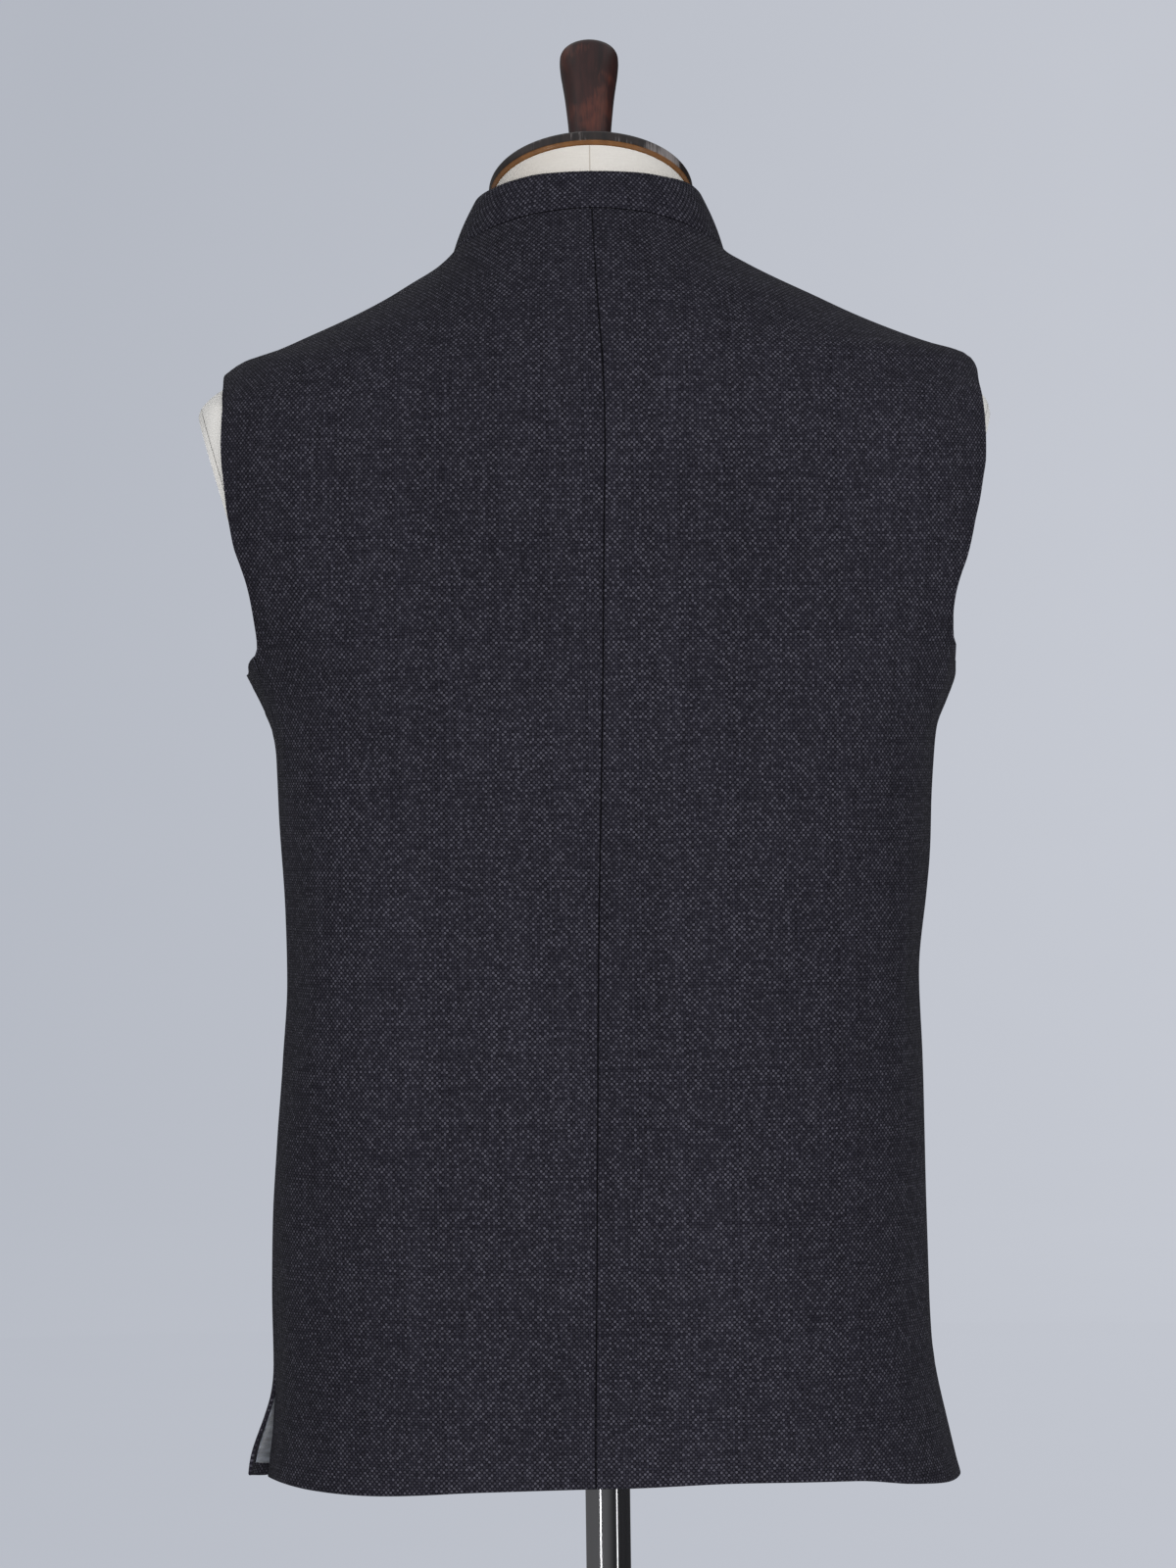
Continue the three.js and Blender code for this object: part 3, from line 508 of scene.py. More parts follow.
# A thin closed shell between an outer and an inner grid whose borders meet
def shellOf(name, outer, inner, uv, materials, lined=None, seamAway=None):
    rows, columns = outer.shape[:2]
    index = np.arange(rows * columns).reshape(rows, columns)
    corners = [index[:-1, :-1], index[:-1, 1:], index[1:, 1:], index[1:, :-1]]
    face = np.stack([c.ravel() for c in corners], axis=1)
    faces = np.concatenate([face, face[:, ::-1] + rows * columns])
    points = np.concatenate([outer.reshape(-1, 3), inner.reshape(-1, 3)])
    p = points[faces]
    volume = (np.cross(p[:, 0], p[:, 1]) * p[:, 2]).sum() + (np.cross(p[:, 0], p[:, 2]) * p[:, 3]).sum()
    if volume < 0:
        faces = faces[:, ::-1]
    mesh = bpy.data.meshes.new(name)
    mesh.from_pydata(points.tolist(), [], faces.tolist())
    loops = np.empty(len(mesh.loops), np.int32)
    mesh.loops.foreach_get("vertex_index", loops)
    layer = mesh.uv_layers.new(name="clothMap")
    layer.data.foreach_set("uv", np.tile(uv.reshape(-1, 2), (2, 1))[loops].ravel())
    for material in materials:
        mesh.materials.append(material)
    if seamAway is not None:
        away = mesh.attributes.new("seamAway", "FLOAT", "POINT")
        away.data.foreach_set("value", np.tile(seamAway.ravel(), 2).astype(np.float32))
    if lined is not None:
        slots = np.zeros(len(faces), np.int32)
        slots[len(face):] = lined[:-1, :-1].ravel()
        mesh.polygons.foreach_set("material_index", slots)
    work = bmesh.new()
    work.from_mesh(mesh)
    bmesh.ops.remove_doubles(work, verts=work.verts, dist=0.00002)
    work.to_mesh(mesh)
    work.free()
    mesh.shade_smooth()
    made = bpy.data.objects.new(name, mesh)
    bpy.context.scene.collection.objects.link(made)
    return made


def roll(distance, width, thickness):
    share = np.clip(1 - distance / width, 0, 1)
    return thickness / 2 * (1 - np.sqrt(1 - share ** 2))


def bell(x, at, width):
    return np.exp(-(((x - at) / width) ** 2))


def panelShell(name, side, rows, centreTurn, place, isFront, materials):
    up, edge, centre, folded = (row[:, None] for row in rows)
    middle = centreTurn(centre)

    def gridAt(across):
        turn = edge * (1 - across) + middle * across
        level = up * (1 - across) + centre * across
        return turn, heightOf(side, turn, level), level

    turn, height, level = gridAt(np.linspace(0, 1, 25)[None, :])
    rough = coatPoint(side, turn, height)
    width = np.linalg.norm(np.diff(rough, axis=1), axis=-1).sum(axis=1)[:, None]
    near = edgeSteps[None, :] / width
    last = near[:, -1:]
    inside = last + (1 - 2 * last) * np.array(steps(0, 1, clothMesh["columns"])[:-1])[None, :]
    across = np.concatenate([near, inside, 1 - near[:, ::-1]], axis=1)
    turn, height, level = gridAt(across)
    fromEdge, fromCentre = across * width, (1 - across) * width
    fromHem, fromNeck = level + 0 * turn, (neckPoint - level) * 1.4 + 0 * turn
    t = edgeTurning
    edgeWidth = t["seam"] + (t["fold"] - t["seam"]) * folded
    centreWidth = t["fold"] if isFront else t["seam"]
    turned = np.maximum.reduce([
        roll(fromEdge, edgeWidth, wall), roll(fromCentre, centreWidth, wall),
        roll(fromHem, t["fold"], wall), roll(fromNeck, t["seam"], wall),
    ])
    armhole = folded * blend(level, 0.40, 0.42)
    groove = t["groove"] * bell(fromEdge, t["grooveAt"], t["grooveWidth"]) * armhole
    swell = t["swell"] * bell(fromEdge, t["swellAt"], t["swellWidth"]) * (1 - folded)
    if not isFront:
        swell = swell + t["swell"] * bell(fromCentre, t["swellAt"], t["swellWidth"])
    nearest = np.minimum.reduce([fromEdge, fromCentre, fromHem, fromNeck])
    relief = (groove - swell) * blend(nearest, 0, t["seam"])
    outer = place(side, turn, height, turned + relief)
    inner = place(side, turn, height, wall - turned)
    uv = clothUv(side, turn, height, outer, isFront)
    # How far each point lies from a seam or the neckline, read by the cloth's painted seam shade
    seamAway = np.minimum(np.where(folded > 0, 1.0, fromEdge), fromNeck)
    if not isFront:
        seamAway = np.minimum(seamAway, fromCentre)
    return shellOf(name, outer, inner, uv, materials, nearest > t["liningFrom"], seamAway)


# Small helpers for materials
def newMaterial(name):
    material = bpy.data.materials.new(name)
    material.use_nodes = True
    tree = material.node_tree
    return material, tree, tree.nodes["Principled BSDF"]


def feed(tree, socket, value):
    if isinstance(value, bpy.types.NodeSocket):
        tree.links.new(value, socket)
    else:
        socket.default_value = value


def addNode(tree, kind, inputs=None, **settings):
    node = tree.nodes.new(kind)
    for key, value in settings.items():
        setattr(node, key, value)
    for key, value in (inputs or {}).items():
        feed(tree, node.inputs[key], value)
    return node


def calc(tree, operation, a, b=0.0, c=0.0):
    return addNode(tree, "ShaderNodeMath", {0: a, 1: b, 2: c}, operation=operation).outputs[0]


def mixColor(tree, share, a, b, blendType="MIX"):
    node = addNode(tree, "ShaderNodeMix", data_type="RGBA", blend_type=blendType)
    feed(tree, node.inputs[0], share)
    feed(tree, node.inputs[6], a)
    feed(tree, node.inputs[7], b)
    return node.outputs[2]


def rangeOf(tree, value, low, high, toLow=0.0, toHigh=1.0, kind="LINEAR"):
    inputs = {"Value": value, "From Min": low, "From Max": high, "To Min": toLow, "To Max": toHigh}
    return addNode(tree, "ShaderNodeMapRange", inputs, interpolation_type=kind).outputs[0]


def placed(tree, output, scale=(1, 1, 1), turn=(0, 0, 0), move=(0, 0, 0)):
    source = addNode(tree, "ShaderNodeTexCoord").outputs[output]
    inputs = {"Vector": source, "Scale": scale, "Rotation": turn, "Location": move}
    return addNode(tree, "ShaderNodeMapping", inputs).outputs[0]


def noiseOf(tree, vector, scale, detail=2.0, rough=0.5):
    inputs = {"Vector": vector, "Scale": scale, "Detail": detail, "Roughness": rough}
    return addNode(tree, "ShaderNodeTexNoise", inputs).outputs["Fac"]


def randomOf(tree, socket, value, dimensions):
    node = addNode(tree, "ShaderNodeTexWhiteNoise", {socket: value}, noise_dimensions=dimensions)
    return node.outputs["Value"]


def scaled(tree, vector, scale):
    return addNode(tree, "ShaderNodeMapping", {"Vector": vector, "Scale": scale}).outputs[0]


def bumpOf(tree, height, strength, distance):
    inputs = {"Height": height, "Strength": strength, "Distance": distance}
    return addNode(tree, "ShaderNodeBump", inputs).outputs[0]


def linear(red, green, blue):
    def channel(value):
        share = value / 255
        return share / 12.92 if share <= 0.04045 else ((share + 0.055) / 1.055) ** 2.4

    return (channel(red), channel(green), channel(blue), 1)


# The waistcoat's cloth: light weft and dark warp threads in a plain weave, as uneven as spun wool
weave = {
    "cellWidth": 0.00140, "cellHeight": 0.00147, "wander": 0.0009,
    "weftDark": linear(34, 33, 40), "weftLight": linear(71, 70, 79),
    "warpDark": linear(15, 14, 20), "warpLight": linear(33, 32, 41), "gap": linear(9, 8, 13),
    # The two seam distances below bound the painted seam shade
    "seamShadeFrom": 0.0001, "seamShadeTo": 0.00075,
}


def clothMaterial():
    material, tree, shader = newMaterial("twoToneWool")
    plain = addNode(tree, "ShaderNodeUVMap", uv_map="clothMap").outputs[0]
    drift = addNode(tree, "ShaderNodeTexNoise", {"Vector": plain, "Scale": 22.0, "Detail": 1.0})
    middle = addNode(tree, "ShaderNodeVectorMath", {
        0: drift.outputs["Color"], 1: (0.5, 0.5, 0.5)}, operation="SUBTRACT").outputs[0]
    wander = addNode(tree, "ShaderNodeVectorMath", {0: middle}, operation="SCALE")
    wander.inputs["Scale"].default_value = weave["wander"]
    moved = addNode(tree, "ShaderNodeVectorMath", {
        0: plain, 1: wander.outputs[0]}, operation="ADD").outputs[0]
    parts = addNode(tree, "ShaderNodeSeparateXYZ", {0: moved})
    a = calc(tree, "DIVIDE", parts.outputs[0], weave["cellWidth"])
    b = calc(tree, "DIVIDE", parts.outputs[1], weave["cellHeight"])
    column, row = calc(tree, "FLOOR", a), calc(tree, "FLOOR", b)
    isWeft = calc(tree, "FLOORED_MODULO", calc(tree, "ADD", column, row), 2.0)
    x = calc(tree, "ABSOLUTE", calc(tree, "SUBTRACT", calc(tree, "SUBTRACT", a, column), 0.5))
    y = calc(tree, "ABSOLUTE", calc(tree, "SUBTRACT", calc(tree, "SUBTRACT", b, row), 0.5))

    # Height of a thread: round across its width, falling away near its ends
    def threadOf(acrossIt, alongIt):
        round_ = calc(tree, "MULTIPLY_ADD", calc(tree, "POWER", acrossIt, 2.0), -3.6, 1.0)
        ends = calc(tree, "MULTIPLY_ADD", calc(tree, "POWER", alongIt, 3.0), -6.4, 1.0)
        return calc(tree, "MULTIPLY", round_, ends)

    weft, warp = threadOf(y, x), threadOf(x, y)
    difference = calc(tree, "SUBTRACT", weft, warp)
    height = calc(tree, "MULTIPLY_ADD", difference, isWeft, warp)
    cell = addNode(tree, "ShaderNodeCombineXYZ", {0: column, 1: row}).outputs[0]
    single = randomOf(tree, "Vector", cell, "2D")
    rowTone = randomOf(tree, "W", row, "1D")
    columnTone = randomOf(tree, "W", column, "1D")
    # Slubs run along a thread, so each direction is stretched its own way
    slubRow = addNode(tree, "ShaderNodeCombineXYZ", {
        0: calc(tree, "MULTIPLY", column, 0.09), 1: calc(tree, "MULTIPLY", row, 0.9)}).outputs[0]
    slubColumn = addNode(tree, "ShaderNodeCombineXYZ", {
        0: calc(tree, "MULTIPLY", column, 0.9), 1: calc(tree, "MULTIPLY", row, 0.07)}).outputs[0]
    weftSlub = noiseOf(tree, slubRow, 1.0, 2.0)
    warpSlub = noiseOf(tree, slubColumn, 1.0, 2.0)
    weftTone = calc(tree, "MULTIPLY", calc(tree, "POWER", single, 2.6), 0.9)
    weftTone = calc(tree, "MULTIPLY_ADD", rowTone, 0.16, weftTone)
    weftTone = calc(tree, "ADD", weftTone, rangeOf(tree, weftSlub, 0.35, 0.75, 0.0, 0.42))
    warpTone = calc(tree, "MULTIPLY_ADD", columnTone, 0.45, calc(tree, "MULTIPLY", single, 0.3))
    warpTone = calc(tree, "ADD", warpTone, rangeOf(tree, warpSlub, 0.35, 0.75, 0.0, 0.4))
    weftColor = mixColor(tree, weftTone, weave["weftDark"], weave["weftLight"])
    warpColor = mixColor(tree, warpTone, weave["warpDark"], weave["warpLight"])
    threads = mixColor(tree, isWeft, warpColor, weftColor)
    open_ = rangeOf(tree, height, 0.05, 0.55, 0.0, 1.0, "SMOOTHSTEP")
    color = mixColor(tree, open_, weave["gap"], threads)
    # Patches where the nap lies another way are a shade lighter or darker
    patches = noiseOf(tree, placed(tree, "Object", (1, 1, 0.6)), 9.0, 3.0, 0.55)
    shade = rangeOf(tree, patches, 0.3, 0.7, 0.90, 1.10)
    tint = addNode(tree, "ShaderNodeCombineXYZ", {0: shade, 1: shade, 2: shade}).outputs[0]
    color = mixColor(tree, 1.0, color, tint, "MULTIPLY")
    # Painted shade: close to a seam the colour turns to the weave's gap colour, a dark line that stands
    # in for the shade where two pieces turn in
    away = addNode(tree, "ShaderNodeAttribute", attribute_name="seamAway").outputs["Fac"]
    seamShade = rangeOf(tree, away, weave["seamShadeFrom"], weave["seamShadeTo"], 1.0, 0.0, "SMOOTHSTEP")
    color = mixColor(tree, seamShade, color, weave["gap"])
    feed(tree, shader.inputs["Base Color"], color)
    fibre = noiseOf(tree, plain, 2600.0, 2.0, 0.7)
    relief = calc(tree, "MULTIPLY_ADD", fibre, 0.25, height)
    feed(tree, shader.inputs["Normal"], bumpOf(tree, relief, 0.55, 0.0003))
    feed(tree, shader.inputs["Roughness"], rangeOf(tree, height, 0.0, 1.0, 0.95, 0.72))
    shader.inputs["Specular IOR Level"].default_value = 0.12
    shader.inputs["Sheen Weight"].default_value = 0.02
    shader.inputs["Sheen Roughness"].default_value = 0.45
    shader.inputs["Sheen Tint"].default_value = (0.75, 0.76, 0.85, 1)
    return material


# The silver-grey satin: painted sheen in lighter streaks and bands along the weft, and painted shade
# deeper into the vent
satin = {"thread": 0.00022, "light": linear(150, 156, 168), "dark": linear(34, 36, 43)}


def satinMaterial():
    material, tree, shader = newMaterial("silverSatin")
    plain = addNode(tree, "ShaderNodeUVMap", uv_map="clothMap").outputs[0]
    parts = addNode(tree, "ShaderNodeSeparateXYZ", {0: plain})
    across = calc(tree, "DIVIDE", parts.outputs[0], satin["thread"])
    along = calc(tree, "DIVIDE", parts.outputs[1], satin["thread"])
    twillAt = calc(tree, "MULTIPLY", calc(tree, "MULTIPLY_ADD", along, 0.35, across), 6.283)
    twill = calc(tree, "SINE", twillAt)
    # Painted sheen: streaks and bands of lighter colour along the weft stand in for light caught by the
    # long floats
    streak = noiseOf(tree, scaled(tree, plain, (60.0, 900.0, 1.0)), 1.0, 3.0)
    folds_ = noiseOf(tree, plain, 30.0, 2.0)
    sheenBands = noiseOf(tree, scaled(tree, plain, (40.0, 260.0, 1.0)), 1.0, 2.0)
    tone = calc(tree, "MULTIPLY_ADD", streak, 0.25, rangeOf(tree, sheenBands, 0.32, 0.68, 0.0, 0.75))
    # Painted shade: the satin grows darker from 10 to 50 mm into the vent, away from its opening
    inward = rangeOf(tree, parts.outputs[0], 0.010, 0.050, 1.0, 0.25, "SMOOTHSTEP")
    tone = calc(tree, "MULTIPLY", tone, inward)
    feed(tree, shader.inputs["Base Color"], mixColor(tree, tone, satin["dark"], satin["light"]))
    relief = calc(tree, "MULTIPLY_ADD", twill, 0.15, calc(tree, "MULTIPLY", folds_, 4.0))
    feed(tree, shader.inputs["Normal"], bumpOf(tree, relief, 0.5, 0.0002))
    feed(tree, shader.inputs["Roughness"], rangeOf(tree, streak, 0.3, 0.7, 0.34, 0.48))
    shader.inputs["Specular IOR Level"].default_value = 0.7
    shader.inputs["Sheen Weight"].default_value = 0.3
    shader.inputs["Sheen Roughness"].default_value = 0.35
    return material


# The form's cream linen: uneven threads, a seam down the middle, a little soil, and painted light that
# makes it paler on the arm stubs
linen = {
    "thread": 0.00055, "light": linear(205, 202, 198), "dark": linear(178, 174, 169),
    "armLitLight": linear(238, 236, 233), "armLitDark": linear(220, 217, 212),
    "seam": linear(150, 140, 128), "seamHalf": 0.0005, "seamX": 0.0005,
}


def linenMaterial(name, seamed):
    material, tree, shader = newMaterial(name)
    where = placed(tree, "Object")
    parts = addNode(tree, "ShaderNodeSeparateXYZ", {0: where})
    turns = calc(tree, "ARCTAN2", parts.outputs[1], parts.outputs[0])
    rounds = calc(tree, "SINE", calc(tree, "MULTIPLY", turns, 900.0))
    uprights = calc(tree, "SINE", calc(tree, "MULTIPLY", parts.outputs[2], 6.283 / linen["thread"]))
    slubs = noiseOf(tree, placed(tree, "Object", (120, 120, 1500)), 1.0, 3.0, 0.6)
    grain = noiseOf(tree, where, 900.0, 3.0, 0.6)
    soil = noiseOf(tree, where, 7.0, 4.0, 0.6)
    tone = calc(tree, "MULTIPLY_ADD", slubs, 0.55, calc(tree, "MULTIPLY", grain, 0.45))
    color = mixColor(tree, tone, linen["dark"], linen["light"])
    # Painted light: towards the arm stubs the linen turns to lighter colours, as if lit more from the
    # sides
    litArmColor = mixColor(tree, tone, linen["armLitDark"], linen["armLitLight"])
    paintedArmLight = rangeOf(tree, calc(tree, "ABSOLUTE", parts.outputs[0]), 0.10, 0.19, kind="SMOOTHSTEP")
    color = mixColor(tree, paintedArmLight, color, litArmColor)
    stain = rangeOf(tree, soil, 0.52, 0.75, 0.0, 0.35)
    color = mixColor(tree, stain, color, linear(188, 176, 160))
    relief = calc(tree, "MULTIPLY_ADD", uprights, 0.25, slubs)
    relief = calc(tree, "MULTIPLY_ADD", rounds, 0.2, relief)
    if seamed:
        off = calc(tree, "ABSOLUTE", calc(tree, "SUBTRACT", parts.outputs[0], linen["seamX"]))
        seam = rangeOf(tree, off, 0.0, linen["seamHalf"], 1.0, 0.0, "SMOOTHSTEP")
        color = mixColor(tree, calc(tree, "MULTIPLY", seam, 0.8), color, linen["seam"])
        relief = calc(tree, "SUBTRACT", relief, calc(tree, "MULTIPLY", seam, 3.0))
    feed(tree, shader.inputs["Base Color"], color)
    feed(tree, shader.inputs["Normal"], bumpOf(tree, relief, 0.4, 0.00025))
    feed(tree, shader.inputs["Roughness"], rangeOf(tree, grain, 0.3, 0.7, 0.85, 0.95))
    shader.inputs["Specular IOR Level"].default_value = 0.25
    shader.inputs["Sheen Weight"].default_value = 0.15
    return material


# Turned and stained wood, with its grain along the neck's tilted axis
def woodMaterial(name, dark, light, worn, wear, rough, coat, rim=None):
    material, tree, shader = newMaterial(name)
    axis = placed(tree, "Object", turn=(-neckTilt, 0, 0))
    grain = noiseOf(tree, scaled(tree, axis, (140.0, 140.0, 9.0)), 1.0, 4.0, 0.65)
    pores = noiseOf(tree, scaled(tree, axis, (900.0, 900.0, 60.0)), 1.0, 2.0, 0.6)
    broad = noiseOf(tree, axis, 26.0, 3.0, 0.6)
    color = mixColor(tree, rangeOf(tree, grain, 0.3, 0.7), dark, light)
    rubbed = rangeOf(tree, calc(tree, "MULTIPLY_ADD", pores, 0.25, broad), 0.68 - wear, 0.80 - wear)
    color = mixColor(tree, calc(tree, "MULTIPLY", rubbed, 0.75), color, worn)
    if rim is not None:
        along = addNode(tree, "ShaderNodeSeparateXYZ", {0: axis}).outputs[2]
        foot = neckPlace.z * math.cos(neckTilt)
        bare = rangeOf(tree, along, foot + 0.0019, foot + 0.0027, 1.0, 0.0, "SMOOTHSTEP")
        color = mixColor(tree, bare, color, mixColor(tree, grain, *rim))
    feed(tree, shader.inputs["Base Color"], color)
    relief = calc(tree, "MULTIPLY_ADD", pores, 0.6, grain)
    feed(tree, shader.inputs["Normal"], bumpOf(tree, relief, 0.25, 0.00025))
    feed(tree, shader.inputs["Roughness"], rangeOf(tree, grain, 0.3, 0.7, rough, rough + 0.14))
    shader.inputs["Coat Weight"].default_value = coat
    shader.inputs["Coat Roughness"].default_value = 0.16
    return material


def steelMaterial(name, tone, rough, brushed, relief):
    material, tree, shader = newMaterial(name)
    streaks = noiseOf(tree, placed(tree, "Object", brushed), 1.0, 3.0, 0.6)
    smudges = noiseOf(tree, placed(tree, "Object"), 18.0, 3.0, 0.55)
    shade = rangeOf(tree, streaks, 0.3, 0.7, 0.92, 1.0)
    feed(tree, shader.inputs["Base Color"], mixColor(tree, shade, linear(120, 120, 124), tone))
    feed(tree, shader.inputs["Roughness"], rangeOf(tree, smudges, 0.3, 0.7, rough, rough + 0.06))
    feed(tree, shader.inputs["Normal"], bumpOf(tree, streaks, relief, 0.0001))
    shader.inputs["Metallic"].default_value = 1
    return material


def buttonMaterial():
    material, tree, shader = newMaterial("darkHorn")
    swirl = noiseOf(tree, placed(tree, "Object", (260.0, 260.0, 110.0)), 1.0, 3.0, 0.6)
    feed(tree, shader.inputs["Base Color"], mixColor(tree, swirl, linear(22, 21, 27), linear(62, 58, 62)))
    feed(tree, shader.inputs["Roughness"], rangeOf(tree, swirl, 0.3, 0.7, 0.28, 0.42))
    feed(tree, shader.inputs["Normal"], bumpOf(tree, swirl, 0.1, 0.0002))
    return material


def threadMaterial():
    material, tree, shader = newMaterial("navyThread")
    twist = addNode(tree, "ShaderNodeTexWave", {
        "Vector": placed(tree, "Object", (1, 1, 1), (0, 0.7, 0)), "Scale": 1500.0, "Distortion": 0.4})
    feed(tree, shader.inputs["Base Color"], mixColor(
        tree, twist.outputs["Fac"], linear(20, 20, 28), linear(58, 58, 70)))
    feed(tree, shader.inputs["Normal"], bumpOf(tree, twist.outputs["Fac"], 0.5, 0.0001))
    shader.inputs["Roughness"].default_value = 0.7
    return material


cloth = clothMaterial()
lining = satinMaterial()
formLinen = linenMaterial("creamLinen", True)
plateLinen = linenMaterial("creamLinenPlate", False)
capWood = woodMaterial(
    "ebonisedWood", linear(20, 17, 17), linear(46, 38, 36), linear(140, 134, 134), 0.04, 0.32, 0.35,
    rim=(linear(66, 40, 20), linear(128, 86, 44)))
handleWood = woodMaterial(
    "redBrownWood", linear(27, 15, 15), linear(56, 30, 28), linear(84, 44, 34), 0.0, 0.30, 0.4)
poleSteel = steelMaterial("polishedTube", linear(214, 214, 217), 0.07, (700, 700, 1.5), 0.01)
baseSteel = steelMaterial("brushedPlate", linear(205, 205, 209), 0.32, (220, 220, 220), 0.08)
horn = buttonMaterial()
thread = threadMaterial()
print("stage: materials made")


def dress(piece, node):
    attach(piece, "root")
    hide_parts(node)


def makeBack(side):
    name = "back_" + sideName(side)

    def centre(up):
        seam = side * centreBackAt(up) / coatAt[sideName(side)](up)
        return np.degrees(seam) - 0.3 * halfGapTurn(side, up)

    piece = panelShell(name + "_cloth", side, backRows(side), centre, backPlace, False, [cloth, lining])
    dress(piece, name)


def frontCentre(side, up):
    return 180 + np.degrees(overlap / coatAt[sideName(side)](up))


def makeFront(side):
    name = "front_" + sideName(side)

    def centre(up):
        return frontCentre(side, up)

    piece = panelShell(name + "_cloth", side, frontRows(side), centre, frontPlace, True, [cloth, lining])
    dress(piece, name)


# The satin that shows at the left vent, on the front's inner face
ventLining = {
    "low": 0.0072, "high": 0.0978, "from": 0.030, "to": 0.25, "frontWidth": 0.3, "edge": 0.001,
    "rows": 40, "columns": 32,
}


def makeVentLining():
    v, width, rim = ventLining, ventLining["frontWidth"], ventLining["edge"]
    edgeIn = np.array([0, 0.15, 0.35, 0.6, 1.0]) * rim
    ups = np.array([v["low"] + e for e in edgeIn] + steps(v["low"] + rim, v["high"] - rim, v["rows"])
                   + [v["high"] - e for e in edgeIn[-2::-1]])[:, None]
    shares = [v["from"] + e / width for e in edgeIn]
    shares += steps(shares[-1], v["to"] - rim / width, v["columns"])
    shares = np.array(shares + [v["to"] - e / width for e in edgeIn[-2::-1]])[None, :]
    edge = seamAt["left"](ups) + 1.5 * halfGapTurn(1, ups)
    level = ups * (1 - shares) + ups * underarmFrom * shares
    turn = edge * (1 - shares) + frontCentre(1, ups * underarmFrom) * shares
    height = heightOf(1, turn, level)
    fromSide = np.minimum(shares - v["from"], v["to"] - shares) * width + 0 * ups
    fromEnd = np.minimum(ups - v["low"], v["high"] - ups) + 0 * shares
    turned = roll(np.minimum(fromSide, fromEnd), rim, liningWall)
    depth = wall + seamGap
    outer = frontPlace(1, turn, height, depth + turned)
    inner = frontPlace(1, turn, height, depth + liningWall - turned)
    uv = np.stack([np.broadcast_to(shares * width, turn.shape), height], axis=-1)
    piece = shellOf("vent_satin", outer, inner, uv, [lining])
    dress(piece, "vent_lining")


# The stand collar, with rounded ends at the front
collar = {
    "endFrom": 166, "endTo": 179, "endDrop": 0.009, "bow": 0.0012, "cover": 0.0001,
    "frontCover": 0.0006, "foot": 0.0016, "fold": 0.0014, "endFold": 0.0013, "height": 0.0255,
    "round": 180, "rows": 14,
}


def makeCollar():
    last, tall = collar["endTo"], collar["height"]
    near = np.array([0, 0.02, 0.06, 0.14, 0.3, 0.6, 1.0])
    middle = np.array(steps(-last + 1, last - 1, 2 * collar["round"]))
    turns = np.concatenate([-last + near, middle, last - near[-2::-1]])
    edges = edgeSteps[:12] / tall
    middle = np.array(steps(edges[-1], 1 - edges[-1], collar["rows"]))
    shares = np.concatenate([edges, middle, 1 - edges[-2::-1]])
    turns, shares = turns[None, :], shares[:, None]
    half = {}
    for side in (1, -1):
        turn = np.abs(turns)
        bottom = necklineAt["up"](turn)
        foot = coatPoint(side, turn, bottom)
        # On the right front the foot goes in with the lap
        sunk = frontPlace(side, turn, bottom, 0 * turn) - foot
        top = necklineAt[sideName(side) + "Top"](turn)
        top = top - collar["endDrop"] * blend(turn, collar["endFrom"], collar["endTo"]) ** 2
        around = np.radians(turn)
        inward = np.stack([-side * np.sin(around), -np.cos(around), 0 * turn], axis=-1)
        cover = collar["cover"] + collar["frontCover"] * blend(turn, 50, 80)
        up = (bottom - cover) * (1 - shares) + top * shares
        foot = np.broadcast_to(foot, (len(shares), *foot.shape[1:])).copy()
        foot[..., 2] = hemHeight + up
        foot += sunk * (1 - shares)[..., None]
        leanHere = np.broadcast_to(necklineAt["lean"](turn), up.shape)
        half[side] = (foot, np.broadcast_to(inward, foot.shape), leanHere)
    isLeft = (turns > 0) & (shares >= 0)
    foot, inward = (np.where(isLeft[..., None], half[1][i], half[-1][i]) for i in (0, 1))
    lean = np.where(isLeft, half[1][2], half[-1][2])
    bow = collar["bow"] * np.sin(math.pi * shares)
    fromFoot, fromTop = shares * tall + 0 * turns, (1 - shares) * tall + 0 * turns
    fromEnd = (last - np.abs(turns)) * collar["endFold"] + 0 * shares
    turned = np.maximum.reduce([
        roll(fromFoot, collar["foot"], collarWall), roll(fromTop, collar["fold"], collarWall),
        roll(fromEnd, collar["endFold"], collarWall),
    ])
    outer = foot + inward * (lean * shares - bow + turned)[..., None]
    inner = foot + inward * (lean * shares - bow + collarWall - turned)[..., None]
    run = np.linalg.norm(np.diff(outer[len(shares) // 2], axis=0), axis=-1)
    u = np.broadcast_to(np.concatenate([[0], np.cumsum(run)]), lean.shape)
    uv = np.stack([u, fromFoot], axis=-1)
    # The collar's foot takes the cloth's painted seam shade
    piece = shellOf("collar_cloth", outer, inner, uv, [cloth], seamAway=fromFoot)
    dress(piece, "collar")


for side in (1, -1):
    makeBack(side)
    makeFront(side)
print("stage: backs and fronts made")
makeVentLining()
makeCollar()
print("stage: collar and vent lining made")


# Helpers for pieces shaped in edit mode
def clearSelection():
    bpy.ops.object.select_all(action="DESELECT")


def selectOnly(piece):
    clearSelection()
    piece.select_set(True)
    bpy.context.view_layer.objects.active = piece


def applyAll(piece):
    selectOnly(piece)
    for modifier in list(piece.modifiers):
        bpy.ops.object.modifier_apply(modifier=modifier.name)


def settle(piece):
    selectOnly(piece)
    bpy.ops.object.transform_apply(location=True, rotation=True, scale=True)


